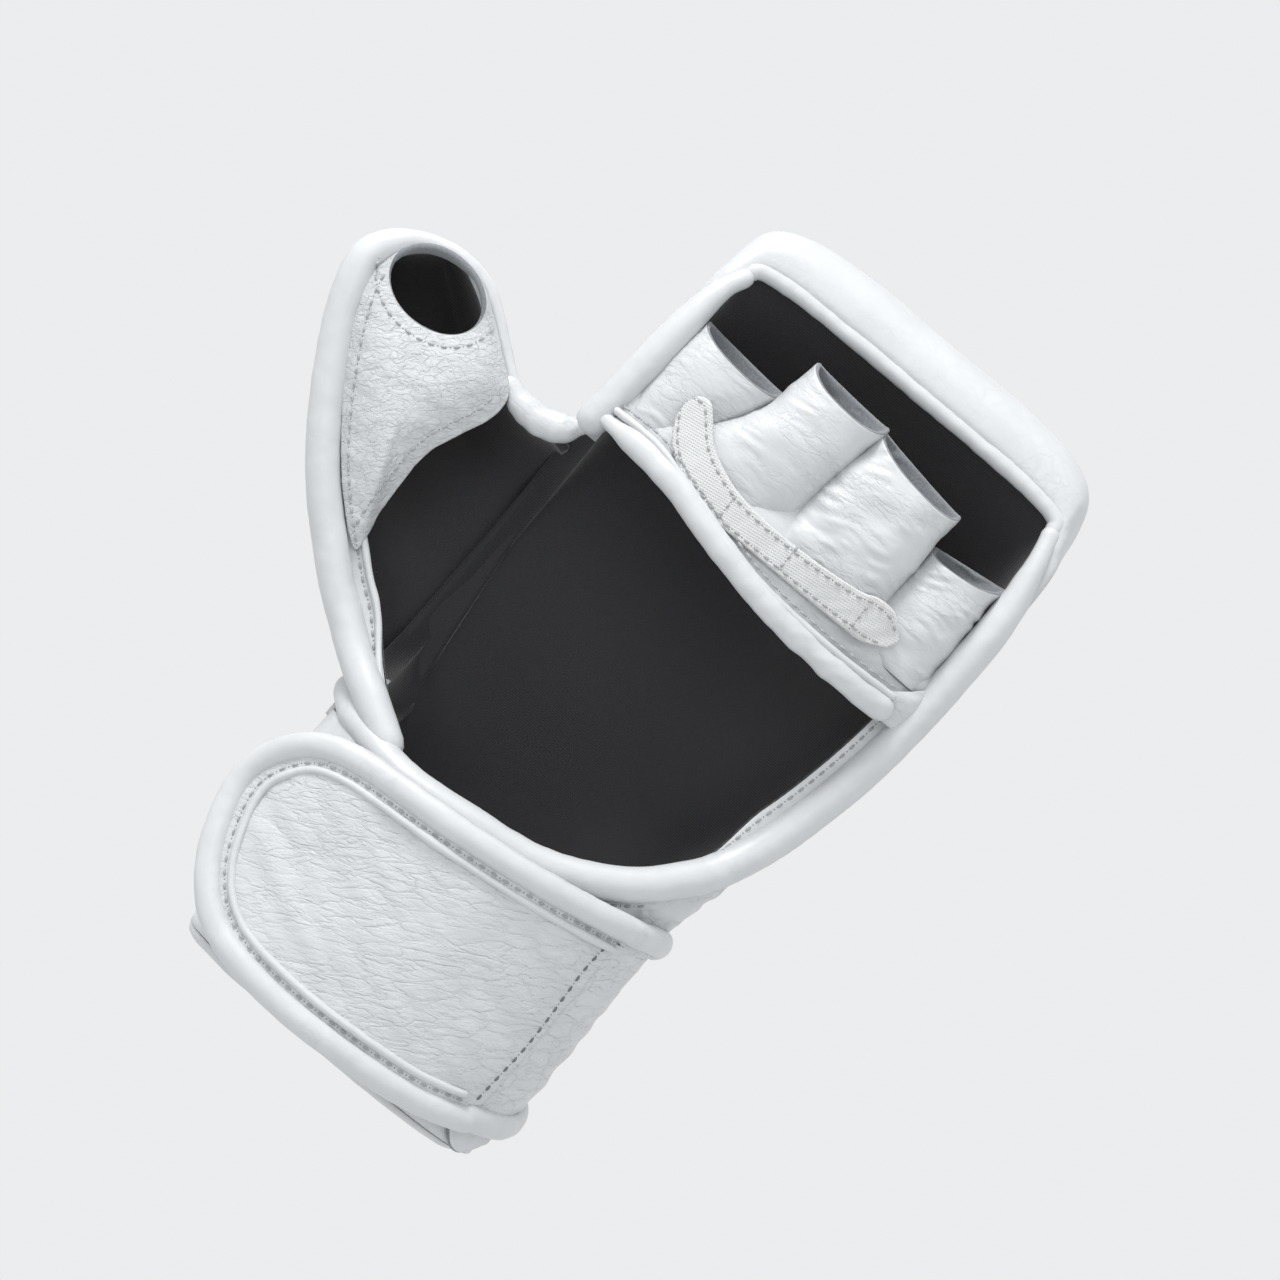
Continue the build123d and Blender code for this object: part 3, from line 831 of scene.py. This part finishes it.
WEB_PATH = curve([(-63.5, -11, 151.5), (-58.5, -11.5, 149.8), (-54, -12, 149.2), (-50, -12.5, 149.8),
                  (-46.4, -13, 151.6), (-43.4, -13.3, 155)], 60)


def web_folds(p):
    return 0.32 * noise.noise(Vector((p.x / 3.1, p.y / 6, p.z / 4.4))) + 0.25 * fbm(p, 6.0)


def web_radius(t):
    return lerp(2.4, 3.7, smooth(0, 0.4, t)) - 1.5 * smooth(0.78, 1, t)


web = tube("web_binding", WEB_PATH, web_radius, FOLDED, relief=web_folds, sides=24)

# --- long side rolls ---------------------------------------------------------------------
INDEX_ROLL = curve([(-42.3, -13.8, 158), (-41.8, -14.3, 165), (-40.8, -14.5, 178), (-39.9, -14, 192),
                    (-38.6, -12.4, 202), (-36.3, -10.8, 207.6)], 70)
index_roll = tube("index_roll", INDEX_ROLL, lambda t: lerp(4.2, 2.4, smooth(0.5, 1, t)), EDGE,
                  relief=roll_wear, sides=26)
lip_line = [p.copy() for p in hood_outer[-1]]
lip_roll = tube("hood_lip_roll", curve([tuple(p) for p in lip_line[2:-2:6]], 150), 2.2, EDGE,
                relief=lambda p: 1.4 * roll_wear(p), sides=18)
HEEL_ROLL = curve([(-45, -9, 70), (-38, -19, 66), (-22, -29, 63), (-2, -32, 65), (17, -31.5, 68.3),
                   (34, -28.5, 76.6), (45, -22.5, 86.6), (52, -17, 97), (57.2, -14, 111), (61.4, -13, 130),
                   (63.6, -13, 148), (64.3, -13.5, 170), (64, -13.5, 186), (62.2, -12.8, 199),
                   (60.2, -10.8, 207.4)], 220)
heel_roll = tube("heel_and_little_roll", HEEL_ROLL, lambda t: lerp(4.4, 2.4, smooth(0.86, 1, t)), EDGE,
                 relief=roll_wear, sides=26)

# --- cuff --------------------------------------------------------------------------------
def cuff_ring(z, half_width, half_depth, count=180):
    line = []
    for k in range(count):
        a = 2 * math.pi * k / count
        c, s = math.cos(a), math.sin(a)
        narrow = 6.5 * (1 - smooth(0, 40, z)) * smooth(0.3, -0.9, c)
        line.append(Vector((half_width * math.copysign(abs(c) ** 0.74, c) + narrow,
                            half_depth * math.copysign(abs(s) ** 0.74, s), z)))
    return line


def cuff_relief(p):
    return 0.4 * fbm(p, 18.0) + 0.25 * noise.noise(Vector((p.x / 8, p.y / 8, p.z / 30)))


CUFF_HALF_WIDTH, CUFF_HALF_DEPTH = 47, 33
CUFF_HEM, CUFF_TOP = 2.6, 64
cuff_out = []
for i in range(41):
    swell = 0.5 * math.sin(math.pi * i / 40) - 0.9
    cuff_out.append(cuff_ring(CUFF_HEM + (CUFF_TOP - CUFF_HEM) * i / 40, CUFF_HALF_WIDTH + swell,
                              CUFF_HALF_DEPTH + swell))
cuff = panel("cuff_wall", cuff_out, SMOOTH, thick=7.2, wrap=True, relief=cuff_relief, back=LINING)
hem_path = cuff_ring(2.4, 43.4, 29.4, 140)
hem = tube("cuff_hem_roll", hem_path, 2.4, EDGE, closed=True, up=Vector((0, 0, 1)), sides=14,
           relief=roll_wear)
back_of_hem = cuff_ring(2.4, CUFF_HALF_WIDTH, CUFF_HALF_DEPTH, 90)[5:42]
hem_stitches = stitches("cuff_hem_stitches", [p * 1.02 + Vector((0, 0, 4.6)) for p in back_of_hem], [cuff],
                        BACKWARD)

# Crinkled panel between the cuff and the heel roll.
heel_low = [(12, -32.5, 60.5), (33, -28.5, 61), (44.5, -17, 61.5), (48, -6, 62)]
heel_high = [(15, -31.2, 67.5), (40, -25.5, 80), (54, -16.5, 96.5), (60, -12, 112)]


def heel_folds(p):
    folds = 0.75 * noise.noise(Vector((p.x / 5, p.y / 8, p.z / 3.2))) + 0.35 * noise.noise(p / 2.2)
    return folds * smooth(28, 40, p.x)


heel_grid = between(heel_low, heel_high, 46, 150,
                    lambda u, v: -1.6 * math.sin(math.pi * v) * smooth(0.3, 0.9, u))
heel_panel = panel("heel_panel", heel_grid, FOLDED, thick=1.6, relief=heel_folds, back=LINING)

# Flange of the side roll, inside the opening on the little-finger side.
flange_line = part_of(HEEL_ROLL, 0.46, 0.76)
side_flange = panel("side_edge_strip", flange(flange_line, 2.6, 7.6, 0.4), SMOOTH, thick=1.2, flip=True,
                    back=LINING)
flange_stitches = stitches("side_strip_stitches", offset_path(flange_line, widening(2.6, 6.2, 0.4))[12:],
                           [heel_roll, side_flange], PALMWARD, pitch=3.2)
side_stitches = stitches("heel_roll_stitches", offset_path(part_of(HEEL_ROLL, 0.2, 0.42), -5.2),
                         [heel_roll, heel_panel, shell], PALMWARD)

flap_plan = [(18, -34.9), (27, -33), (36, -29.6), (44, -22), (48, -12), (48.9, -4)]
flap_low = [(x, y, 2.5) for x, y in flap_plan]
flap_high = [(x, y, 62) for x, y in flap_plan]
flap_grid = between(flap_low, flap_high, 30, 40)
flap = panel("cuff_flap_face", flap_grid, FOLDED, thick=1.0, back=LINING)
loop_plan = [(-40.5, -23.4), (-33, -29.4), (-24, -32.9), (-5, -35.2), (15, -35.2)]
loop_grid = between([(x, y, 8.5) for x, y in loop_plan], [(x, y, 59.5) for x, y in loop_plan], 30, 40)
loop_tape = panel("loop_tape_face", loop_grid, LOOPS, thick=0.8)
flap_tip = between([(40.5, -28, 6), (43.5, -26, 3), (47, -23, 3.2), (50, -18, 8)],
                   [(40.5, -28, 18), (43.5, -26, 18), (47, -23, 18), (50, -18, 18)], 14, 24)
tip = panel("cuff_flap_tip", flap_tip, EDGE, thick=1.4, relief=lambda p: 0.4 * fbm(p, 5.0), back=SUEDE)

# --- strap -------------------------------------------------------------------------------
STRAP_PLAN = [(-54.5, -22.5), (-53.6, -24), (-47, -29.5), (-38, -34), (-24, -38.5), (-8, -41), (6, -41.3),
              (20, -39.6), (32, -36), (40, -31.8), (46, -26), (50.3, -18), (52, -8), (51.5, 4), (47.5, 17),
              (38, 29),
              (22, 36.6), (6, 37.8), (-10, 36.6), (-22, 34.9), (-30, 32.4)]
STRAP_TOP = [(-54.5, 42), (-53.5, 46), (-51, 51), (-47.5, 56), (-43.5, 59.5), (-36, 62.4), (-29.3, 63.7),
             (-2.2, 66), (20.8, 69), (43.8, 73.3)]
STRAP_BOTTOM = [(-54.5, 36), (-53, 30.5), (-51.9, 26.6), (-47.3, 16.6), (-39.7, 8.2), (-29.7, 3),
                (-12.9, 0.9), (5.5, 1.2), (28.5, 3.2), (43.8, 7.4)]
SEAM_X = 43.4


def strap_y(x):
    """Face of the strap's free end at x."""
    fine = [spline(STRAP_PLAN[:12], i / 200) for i in range(201)]
    k = min(range(200), key=lambda i: abs(fine[i][0] + fine[i + 1][0] - 2 * x))
    (x0, y0), (x1, y1) = fine[k], fine[k + 1]
    return lerp(y0, y1, (x - x0) / (x1 - x0) if x1 != x0 else 0)


STRAP_FACE = {}


def on_strap(x, z, lift):
    """Point lift millimetres in front of the strap's face; the face at each x is worked out once."""
    key = round(x, 2)
    if key not in STRAP_FACE:
        STRAP_FACE[key] = strap_y(key)
    return Vector((x, STRAP_FACE[key] - lift, z))


outline = STRAP_TOP[::-1] + STRAP_BOTTOM
outline_flat = curve([(x, 0, z) for x, z in outline], 260)


def strap_line(distance, lift, start=0.0, end=1.0):
    """Line along the strap's edge, distance millimetres inside it."""
    line = smoothed(offset_path(outline_flat, distance), 60)
    line = curve([tuple(p) for p in part_of(line, start, end)[::3]], 220)
    return [on_strap(min(max(p.x, -54.3), 49), p.z, lift) for p in line]


def height_at(table, x):
    for (x0, z0), (x1, z1) in zip(table, table[1:]):
        if x0 <= x <= x1:
            return lerp(z0, z1, (x - x0) / (x1 - x0))
    return table[-1][1] if x > table[-1][0] else table[0][1]


def strap_face(left, right, margin, lift, rows=90, columns=150):
    line_x = [left + (right - left) * (1 - math.cos(math.pi * j / (columns - 1) / 2)) for j in range(columns)]
    grid = []
    for i in range(rows):
        v = i / (rows - 1)
        line = []
        for x in line_x:
            low, high = height_at(STRAP_BOTTOM, x - margin * 0.6), height_at(STRAP_TOP, x - margin * 0.6)
            low, high = low + margin, high - margin
            middle = (low + high) / 2
            low, high = min(low, middle - 2), max(high, middle + 2)
            line.append(on_strap(x, lerp(low, high, v), lift))
        grid.append(line)
    return grid


def strap_creases(p):
    edge = smooth(-47, -38, p.x)
    lines = noise.noise(Vector(((p.x - p.z * 0.5) / 26, 0, (p.z + p.x * 0.45) / 5.5)))
    soft = 0.6 * fbm(p, 24.0)
    return (0.5 * lines + soft) * lerp(0.5, 1.0, edge)


tab_grid = strap_face(-49.5, SEAM_X, 5.0, 0.6)
tab = panel("strap_face", tab_grid, CREASED, thick=2.0, relief=strap_creases)
back_grid = strap_face(-53, SEAM_X, 1.2, -2.2, rows=40, columns=90)
backing = panel("strap_back", back_grid, WEBBING, thick=1.4)
hook_grid = strap_face(-45, 5, 9, -3.9, rows=30, columns=50)
hooks = panel("hook_tape_sheet", hook_grid, HOOKS, thick=0.9)
binding = tube("strap_edge_roll", strap_line(3.3, 0.5), 3.35, EDGE, depth=0.8, relief=roll_wear, sides=28)
strap_welt = tube("strap_welt", strap_line(9.1, 0.9, 0.01, 0.99), 1.05, EDGE, relief=roll_wear, sides=12)
strap_stitches = stitches("strap_stitches", strap_line(7.4, 3, 0.005, 0.995), [tab, strap_welt, binding],
                          PALMWARD, pitch=3.3)


def plan_path(start_x, count):
    fine = curve([(x, y, 0) for x, y in STRAP_PLAN], 400)
    first = next(i for i, p in enumerate(fine) if p.x >= start_x and p.y > -37)
    return curve([tuple(p) for p in fine[first:]], count)


root_plan = plan_path(SEAM_X - 1.6, 150)
root_low = [7.4, 10, 12.6, 13.6, 11, 8, 5.5, 4.5, 4.2]
root_high = [73.3, 75.2, 73.5, 71, 68, 65.5, 63.6, 62.8, 62.4]


def root_grid(margin, lift, rows=70):
    grid = []
    n = len(root_plan)
    for i in range(rows):
        v = i / (rows - 1)
        line = []
        for j, p in enumerate(root_plan):
            low = spline([(z,) for z in root_low], j / (n - 1))[0] + margin
            high = spline([(z,) for z in root_high], j / (n - 1))[0] - margin
            ahead = root_plan[min(j + 1, n - 1)] - root_plan[max(j - 1, 0)]
            out = ahead.cross(Vector((0, 0, 1))).normalized()
            line.append(Vector((p.x, p.y, lerp(low, high, v))) + out * lift)
        grid.append(line)
    return grid


def root_folds(p):
    lines = noise.noise(Vector(((p.x + p.y) / 11, 0, (p.z + p.x * 0.3) / 5)))
    return 0.5 * lines + 0.5 * fbm(p, 16.0)


side_grid = root_grid(5.6, -0.3)
root = panel("strap_root_face", side_grid, CREASED, thick=1.8, relief=root_folds, back=WEBBING)
root_under_grid = root_grid(1.2, -1.6, rows=40)
root_under = panel("strap_root_under", root_under_grid, WEBBING, thick=1.2)
wide_grid = root_grid(3.7, 0.0, rows=2)
ROOT_ROLL = {"radius": 2.6, "depth": 1.3, "up": Vector((0, 0, 1)), "relief": roll_wear, "sides": 24}
root_top = tube("strap_root_top_roll", wide_grid[1], material=EDGE, **ROOT_ROLL)
root_bottom = tube("strap_root_bottom_roll", wide_grid[0], material=EDGE, **ROOT_ROLL)
seam_line = at((41.2, 0, 64), (40.7, 0, 56), (41.2, 0, 48), (41.7, 0, 40), (41.9, 0, 32), (41.5, 0, 24),
               (41.0, 0, 15))
seam_stitches = stitches("strap_seam_stitches", seam_line, [tab, root], PALMWARD, pitch=3.0,
                         thread_material=SEAM_MATERIAL)
# The strap's other end is sewn to the back of the cuff.
root_end_stitches = [stitches(f"strap_root_end_stitches_{k}", at((x, 0, 12), (x, 0, 56)), [root], BACKWARD,
                              pitch=3.0) for k, x in enumerate((-27.0, -23.5))]

# --- leather across the palm and the finger sheaths --------------------------------------
def palm_y(x, lift=0.0):
    """Palm side of the finger roots at x."""
    return 90 - math.sqrt(116 ** 2 - (x - 11) ** 2) - lift


def on_palm(points, lift=0.0):
    return [(x, palm_y(x, lift), z) for x, z in points]


def palm_folds(p):
    """Creases that fan out across the finger roots, deeper towards the little finger."""
    fan = noise.noise(Vector(((p.x + p.z) / 12, 2.0, (p.z - 0.7 * p.x) / 3.0)))
    fine = noise.noise(Vector((p.x / 4, 0, p.z / 9)))
    return 0.5 * fan * smooth(5, 40, p.x) + 0.25 * fine + 0.5 * fbm(p, 14.0)


base_grid = between(on_palm([(-38, 160), (-15, 158), (0, 154), (12.7, 151.5), (28.7, 150), (63, 150)], 2.2),
                    on_palm([(-39.5, 186), (-15, 182), (0, 178), (12.7, 176), (28.7, 174), (63, 178)], -1.4),
                    60, 160, lambda u, v: 4.5 * smooth(0.3, 1.0, v))
base = panel("finger_base_face", base_grid, FOLDED, thick=1.3, relief=palm_folds)
bar_path = curve(on_palm([(-39.6, 159.6), (-34, 159.6), (-27, 159.6), (-15.1, 157.8), (-3.2, 154.6),
                          (12.7, 151), (28.7, 149.2), (43, 148.6), (55, 149)], 3.0), 120)
bar = tube("palm_bar_roll", bar_path, lambda t: lerp(1.9, 3.3, smooth(0, 0.12, t)), EDGE, depth=0.8,
           relief=lambda p: 0.8 * palm_folds(p), sides=22)
welt_path = curve(on_palm([(-39, 163), (-27, 163), (-17.5, 160.8), (-3.2, 157), (12.7, 153.4), (28.7, 152.2),
                           (44.6, 152.3), (55.5, 153)], 3.6), 120)
bar_welt = tube("palm_bar_welt", welt_path, 1.0, EDGE, relief=roll_wear, sides=12)
bar_stitches = stitches("palm_bar_stitches", offset_path(welt_path, 1.9), [bar], PALMWARD, pitch=3.2)

GRIP_TOP = [(-27.4, 175.8), (-26.2, 178), (-23.2, 178.4), (-20.3, 175.6), (-15.4, 170.6), (-6.4, 166.6),
            (4.8, 165), (20.7, 165.3), (33.4, 166.8), (38, 168.4), (43.5, 168), (48.2, 163.9)]
GRIP_LOW = [(-27.7, 174.2), (-26.9, 170.2), (-22.6, 164.3), (-15, 160.6), (-4, 158), (4.8, 157.8),
            (20.7, 157.8), (34, 158), (41, 158.4), (46.8, 161)]
grip_grid = between(on_palm(GRIP_LOW, 3.4), on_palm(GRIP_TOP, 3.4), 26, 150)
grip = panel("grip_face", grip_grid, GRIP, thick=1.3, relief=lambda p: 0.6 * palm_folds(p))
grip_rows = []
for share in (0.13, 0.87):
    path = [grip_grid[0][j].lerp(grip_grid[-1][j], share) for j in range(4, 146, 3)]
    grip_rows.append(stitches(f"grip_stitches_{len(grip_rows)}", path, [grip], PALMWARD, pitch=3.0))
for x in (-4, 15, 37):
    grip_rows.append(stitches(f"grip_stitches_{len(grip_rows)}", at((x, 0, 158.6), (x, 0, 166)), [grip],
                              PALMWARD, pitch=2.4))
tab_side_grid = between([(49, -21.5, 148), (55, -19, 147), (61, -16, 147), (64.5, -13.5, 148)],
                        [(55, -20, 154), (58, -18.5, 156.5), (61.5, -16.5, 159.5), (64.5, -14, 162)], 20, 30,
                        lambda u, v: -1.4 * math.sin(math.pi * v))
side_tab = panel("side_tab_face", tab_side_grid, FOLDED, thick=1.4, relief=lambda p: 0.6 * palm_folds(p))

# Each sheath is an open tube, from its side lines (x, z) at the bottom to the top, and the dip of its rim.
SHEATHS = {
    "index": ([(-38.5, 163), (-38.8, 172), (-38, 184), (-36.2, 194)],
              [(-20, 161), (-18, 171), (-14, 181), (-10.4, 191.8)], 4.0, 16.0),
    "middle": ([(-26, 160), (-21, 173), (-13, 186), (-9.6, 203)],
               [(10.5, 160), (11.2, 174), (12, 186), (14.2, 201.4)], 4.6, 18.5),
    "ring": ([(4, 158), (8.6, 174), (10.4, 187), (13.4, 200.6)],
             [(41, 157), (40.6, 172), (40.6, 186), (40.6, 196.4)], 4.0, 18.5),
    "little": ([(33, 157), (37, 170), (39.3, 180), (40.2, 187.4)],
               [(60, 157), (60.5, 170), (60, 180), (60.4, 190)], 3.6, 16.0),
}
FOLD_SIZE = {"index": 0.3, "middle": 0.45, "ring": 0.8, "little": 0.8}


def sheath_folds(finger):
    def folds(p):
        amount = FOLD_SIZE[finger]
        bent = p.z + 2.2 * noise.noise(Vector((p.x / 9, 7.0, p.z / 14)))
        across = noise.noise(Vector((p.x / 10, p.y / 10, bent / 1.6)))
        patch = smooth(-0.25, 0.35, noise.noise(Vector((p.x / 8, 9.0, p.z / 9))))
        broad = noise.noise(Vector((p.x / 9, 4.0, p.z / 6)))
        return amount * (across * patch + 0.9 * broad)
    return folds


sheath_pieces = {}
for finger, (left, right, dip, deep) in SHEATHS.items():
    rows, cols = 70, 110
    left_line = curve([(x, 0, z) for x, z in left], rows)
    right_line = curve([(x, 0, z) for x, z in right], rows)
    grid = []
    for i in range(rows):
        v = i / (rows - 1)
        a, b = left_line[i], right_line[i]
        centre, half = (a + b) / 2, (b - a) / 2
        base_y = palm_y(centre.x) + 9.4 - 0.8 * v
        line = []
        for k in range(cols):
            angle = 2 * math.pi * k / cols
            c, s = math.cos(angle), math.sin(angle)
            c = math.copysign(abs(c) ** 0.85, c)
            s = math.copysign(abs(s) ** 0.85, s)
            front = max(s, 0.0)
            depth = lerp(9.4, 10.6, math.sin(math.pi * v)) if s > 0 else deep - 10.0
            p = centre + half * c
            drop = dip * front * v ** 3
            line.append(Vector((p.x, base_y - depth * s, p.z - drop)))
        grid.append(line)
    made = panel(f"{finger}_sheath_leather", grid, FOLDED, thick=1.3, wrap=True, flip=True,
                 relief=sheath_folds(finger), back=SUEDE)
    sheath_pieces[finger] = (made, grid)


def flexes(*items):
    for item in items:
        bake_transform(item)


def swings(*items):
    for item in items:
        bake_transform(item)


def peels(*items):
    for item in items:
        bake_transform(item)


def rides(body, *items):
    for item in items:
        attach(item, body)


flexes(shell, knuckle_seam, index_roll, heel_roll, side_stitches, side_tab, side_flange, flange_stitches)
swings(guard, thumb_roll, thumb_roll_stitches, thumb_welt, thumb_strip, web)
rides("thumb", thumb_sheath, hole_stitches, sheath_edge_stitches)
rides("knuckles", lip_roll, base, bar, bar_welt, bar_stitches, grip, *grip_rows, *channel_rows,
      *[made for made, _ in sheath_pieces.values()])
rides("hand", cuff, hem, hem_stitches, heel_panel, flap, loop_tape, tip, root, root_under, root_top,
      root_bottom, *root_end_stitches)
peels(tab, backing, hooks, binding, strap_welt, strap_stitches, seam_stitches)

STANDS_FOR = (
    (shell, ("back_leather", "back_foam", "hand_lining", "knuckle_leather", "knuckle_lining",
             *[f"knuckle_pad_{finger}" for finger in SHEATHS])),
    (heel_roll, ("heel_roll", "little_side_roll")),
    (index_roll, ("index_side_roll",)),
    (cuff, ("cuff_leather", "cuff_foam", "cuff_lining")),
    (hem, ("cuff_hem",)),
    (flap, ("cuff_flap",)),
    (loop_tape, ("loop_patch",)),
    (root, ("strap_root",)),
    (tab, ("strap_panel",)),
    (backing, ("strap_backing",)),
    (hooks, ("hook_patch",)),
    (binding, ("strap_binding",)),
    (strap_welt, ("strap_piping",)),
    (guard, ("thumb_leather", "thumb_foam", "thumb_lining")),
    (thumb_sheath, ("thumb_sheath",)),
    (thumb_roll, ("thumb_edge_roll",)),
    (web, ("web_roll",)),
    (base, ("finger_base_panel",)),
    (bar, ("palm_bar",)),
    (bar_welt, ("palm_bar_piping",)),
    (grip, ("grip_patch",)),
    (side_tab, ("side_tab",)),
    *[(made, (f"{finger}_sheath",)) for finger, (made, _) in sheath_pieces.items()],
)
for piece, cad_names in STANDS_FOR:
    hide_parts(*cad_names)

unrolled_cut(heel_grid)

# --- studio ------------------------------------------------------------------------------
PAGE = (0.835, 0.845, 0.855)   # linear value of the pale background


def glow(name, colour, strength):
    material = bpy.data.materials.new(name)
    material.use_nodes = True
    tree = material.node_tree
    tree.nodes.clear()
    light = node(tree, "ShaderNodeEmission", {"Color": (*colour, 1.0), "Strength": strength})
    output = tree.nodes.new("ShaderNodeOutputMaterial")
    tree.links.new(light.outputs["Emission"], output.inputs["Surface"])
    return material


def board(name, corners, material):
    mesh = bpy.data.meshes.new(name)
    mesh.from_pydata([Vector(c) for c in corners], [], [(0, 1, 2, 3)])
    mesh.materials.append(material)
    made = bpy.data.objects.new(name, mesh)
    bpy.context.scene.collection.objects.link(made)
    return made


paper = glow("studio_paper", PAGE, 1.0)
floor = board("studio_floor", [(-4, -4, -0.001), (4, -4, -0.001), (4, 4, -0.001), (-4, 4, -0.001)], paper)
wall = board("studio_wall", [(-4, 1.6, -0.1), (4, 1.6, -0.1), (4, 1.6, 4), (-4, 1.6, 4)], paper)

world = bpy.data.worlds.new("studio_world")
world.use_nodes = True
world.node_tree.nodes["Background"].inputs["Color"].default_value = (*PAGE, 1.0)
world.node_tree.nodes["Background"].inputs["Strength"].default_value = 1.0
bpy.context.scene.world = world


def lamp(name, place, target, size, power):
    data = bpy.data.lights.new(name, "AREA")
    data.shape = "DISK"
    data.size = size
    data.energy = power
    made = bpy.data.objects.new(name, data)
    made.location = place
    made.rotation_euler = (Vector(target) - Vector(place)).to_track_quat("-Z", "Y").to_euler()
    bpy.context.scene.collection.objects.link(made)
    return made


GLOVE_CENTRE = (0, 0, 0.12)
lamp("key_light", (-0.78, -0.45, 1.15), GLOVE_CENTRE, 0.5, 15.0)
lamp("fill_light", (-0.2, -1.3, 0.6), GLOVE_CENTRE, 0.7, 2.5)

# The camera looks straight at the palm side, rolled so that the glove leans as in the reference view.
data = bpy.data.cameras.new("main_camera")
camera = bpy.data.objects.new("main_camera", data)
bpy.context.scene.collection.objects.link(camera)
CAMERA_PLACE = (0.0005, -1.299, 0.1244)
ROLL = math.radians(40.0)
right = Vector((math.cos(ROLL), 0, math.sin(ROLL)))
up = Vector((-math.sin(ROLL), 0, math.cos(ROLL)))
turned = Matrix((right, up, PALMWARD)).transposed().to_4x4()
camera.matrix_world = Matrix.Translation(CAMERA_PLACE) @ turned
data.lens = 150.0
data.sensor_width = 36.0
data.dof.use_dof = False
bpy.context.scene.camera = camera
bpy.context.scene.view_settings.view_transform = "Standard"
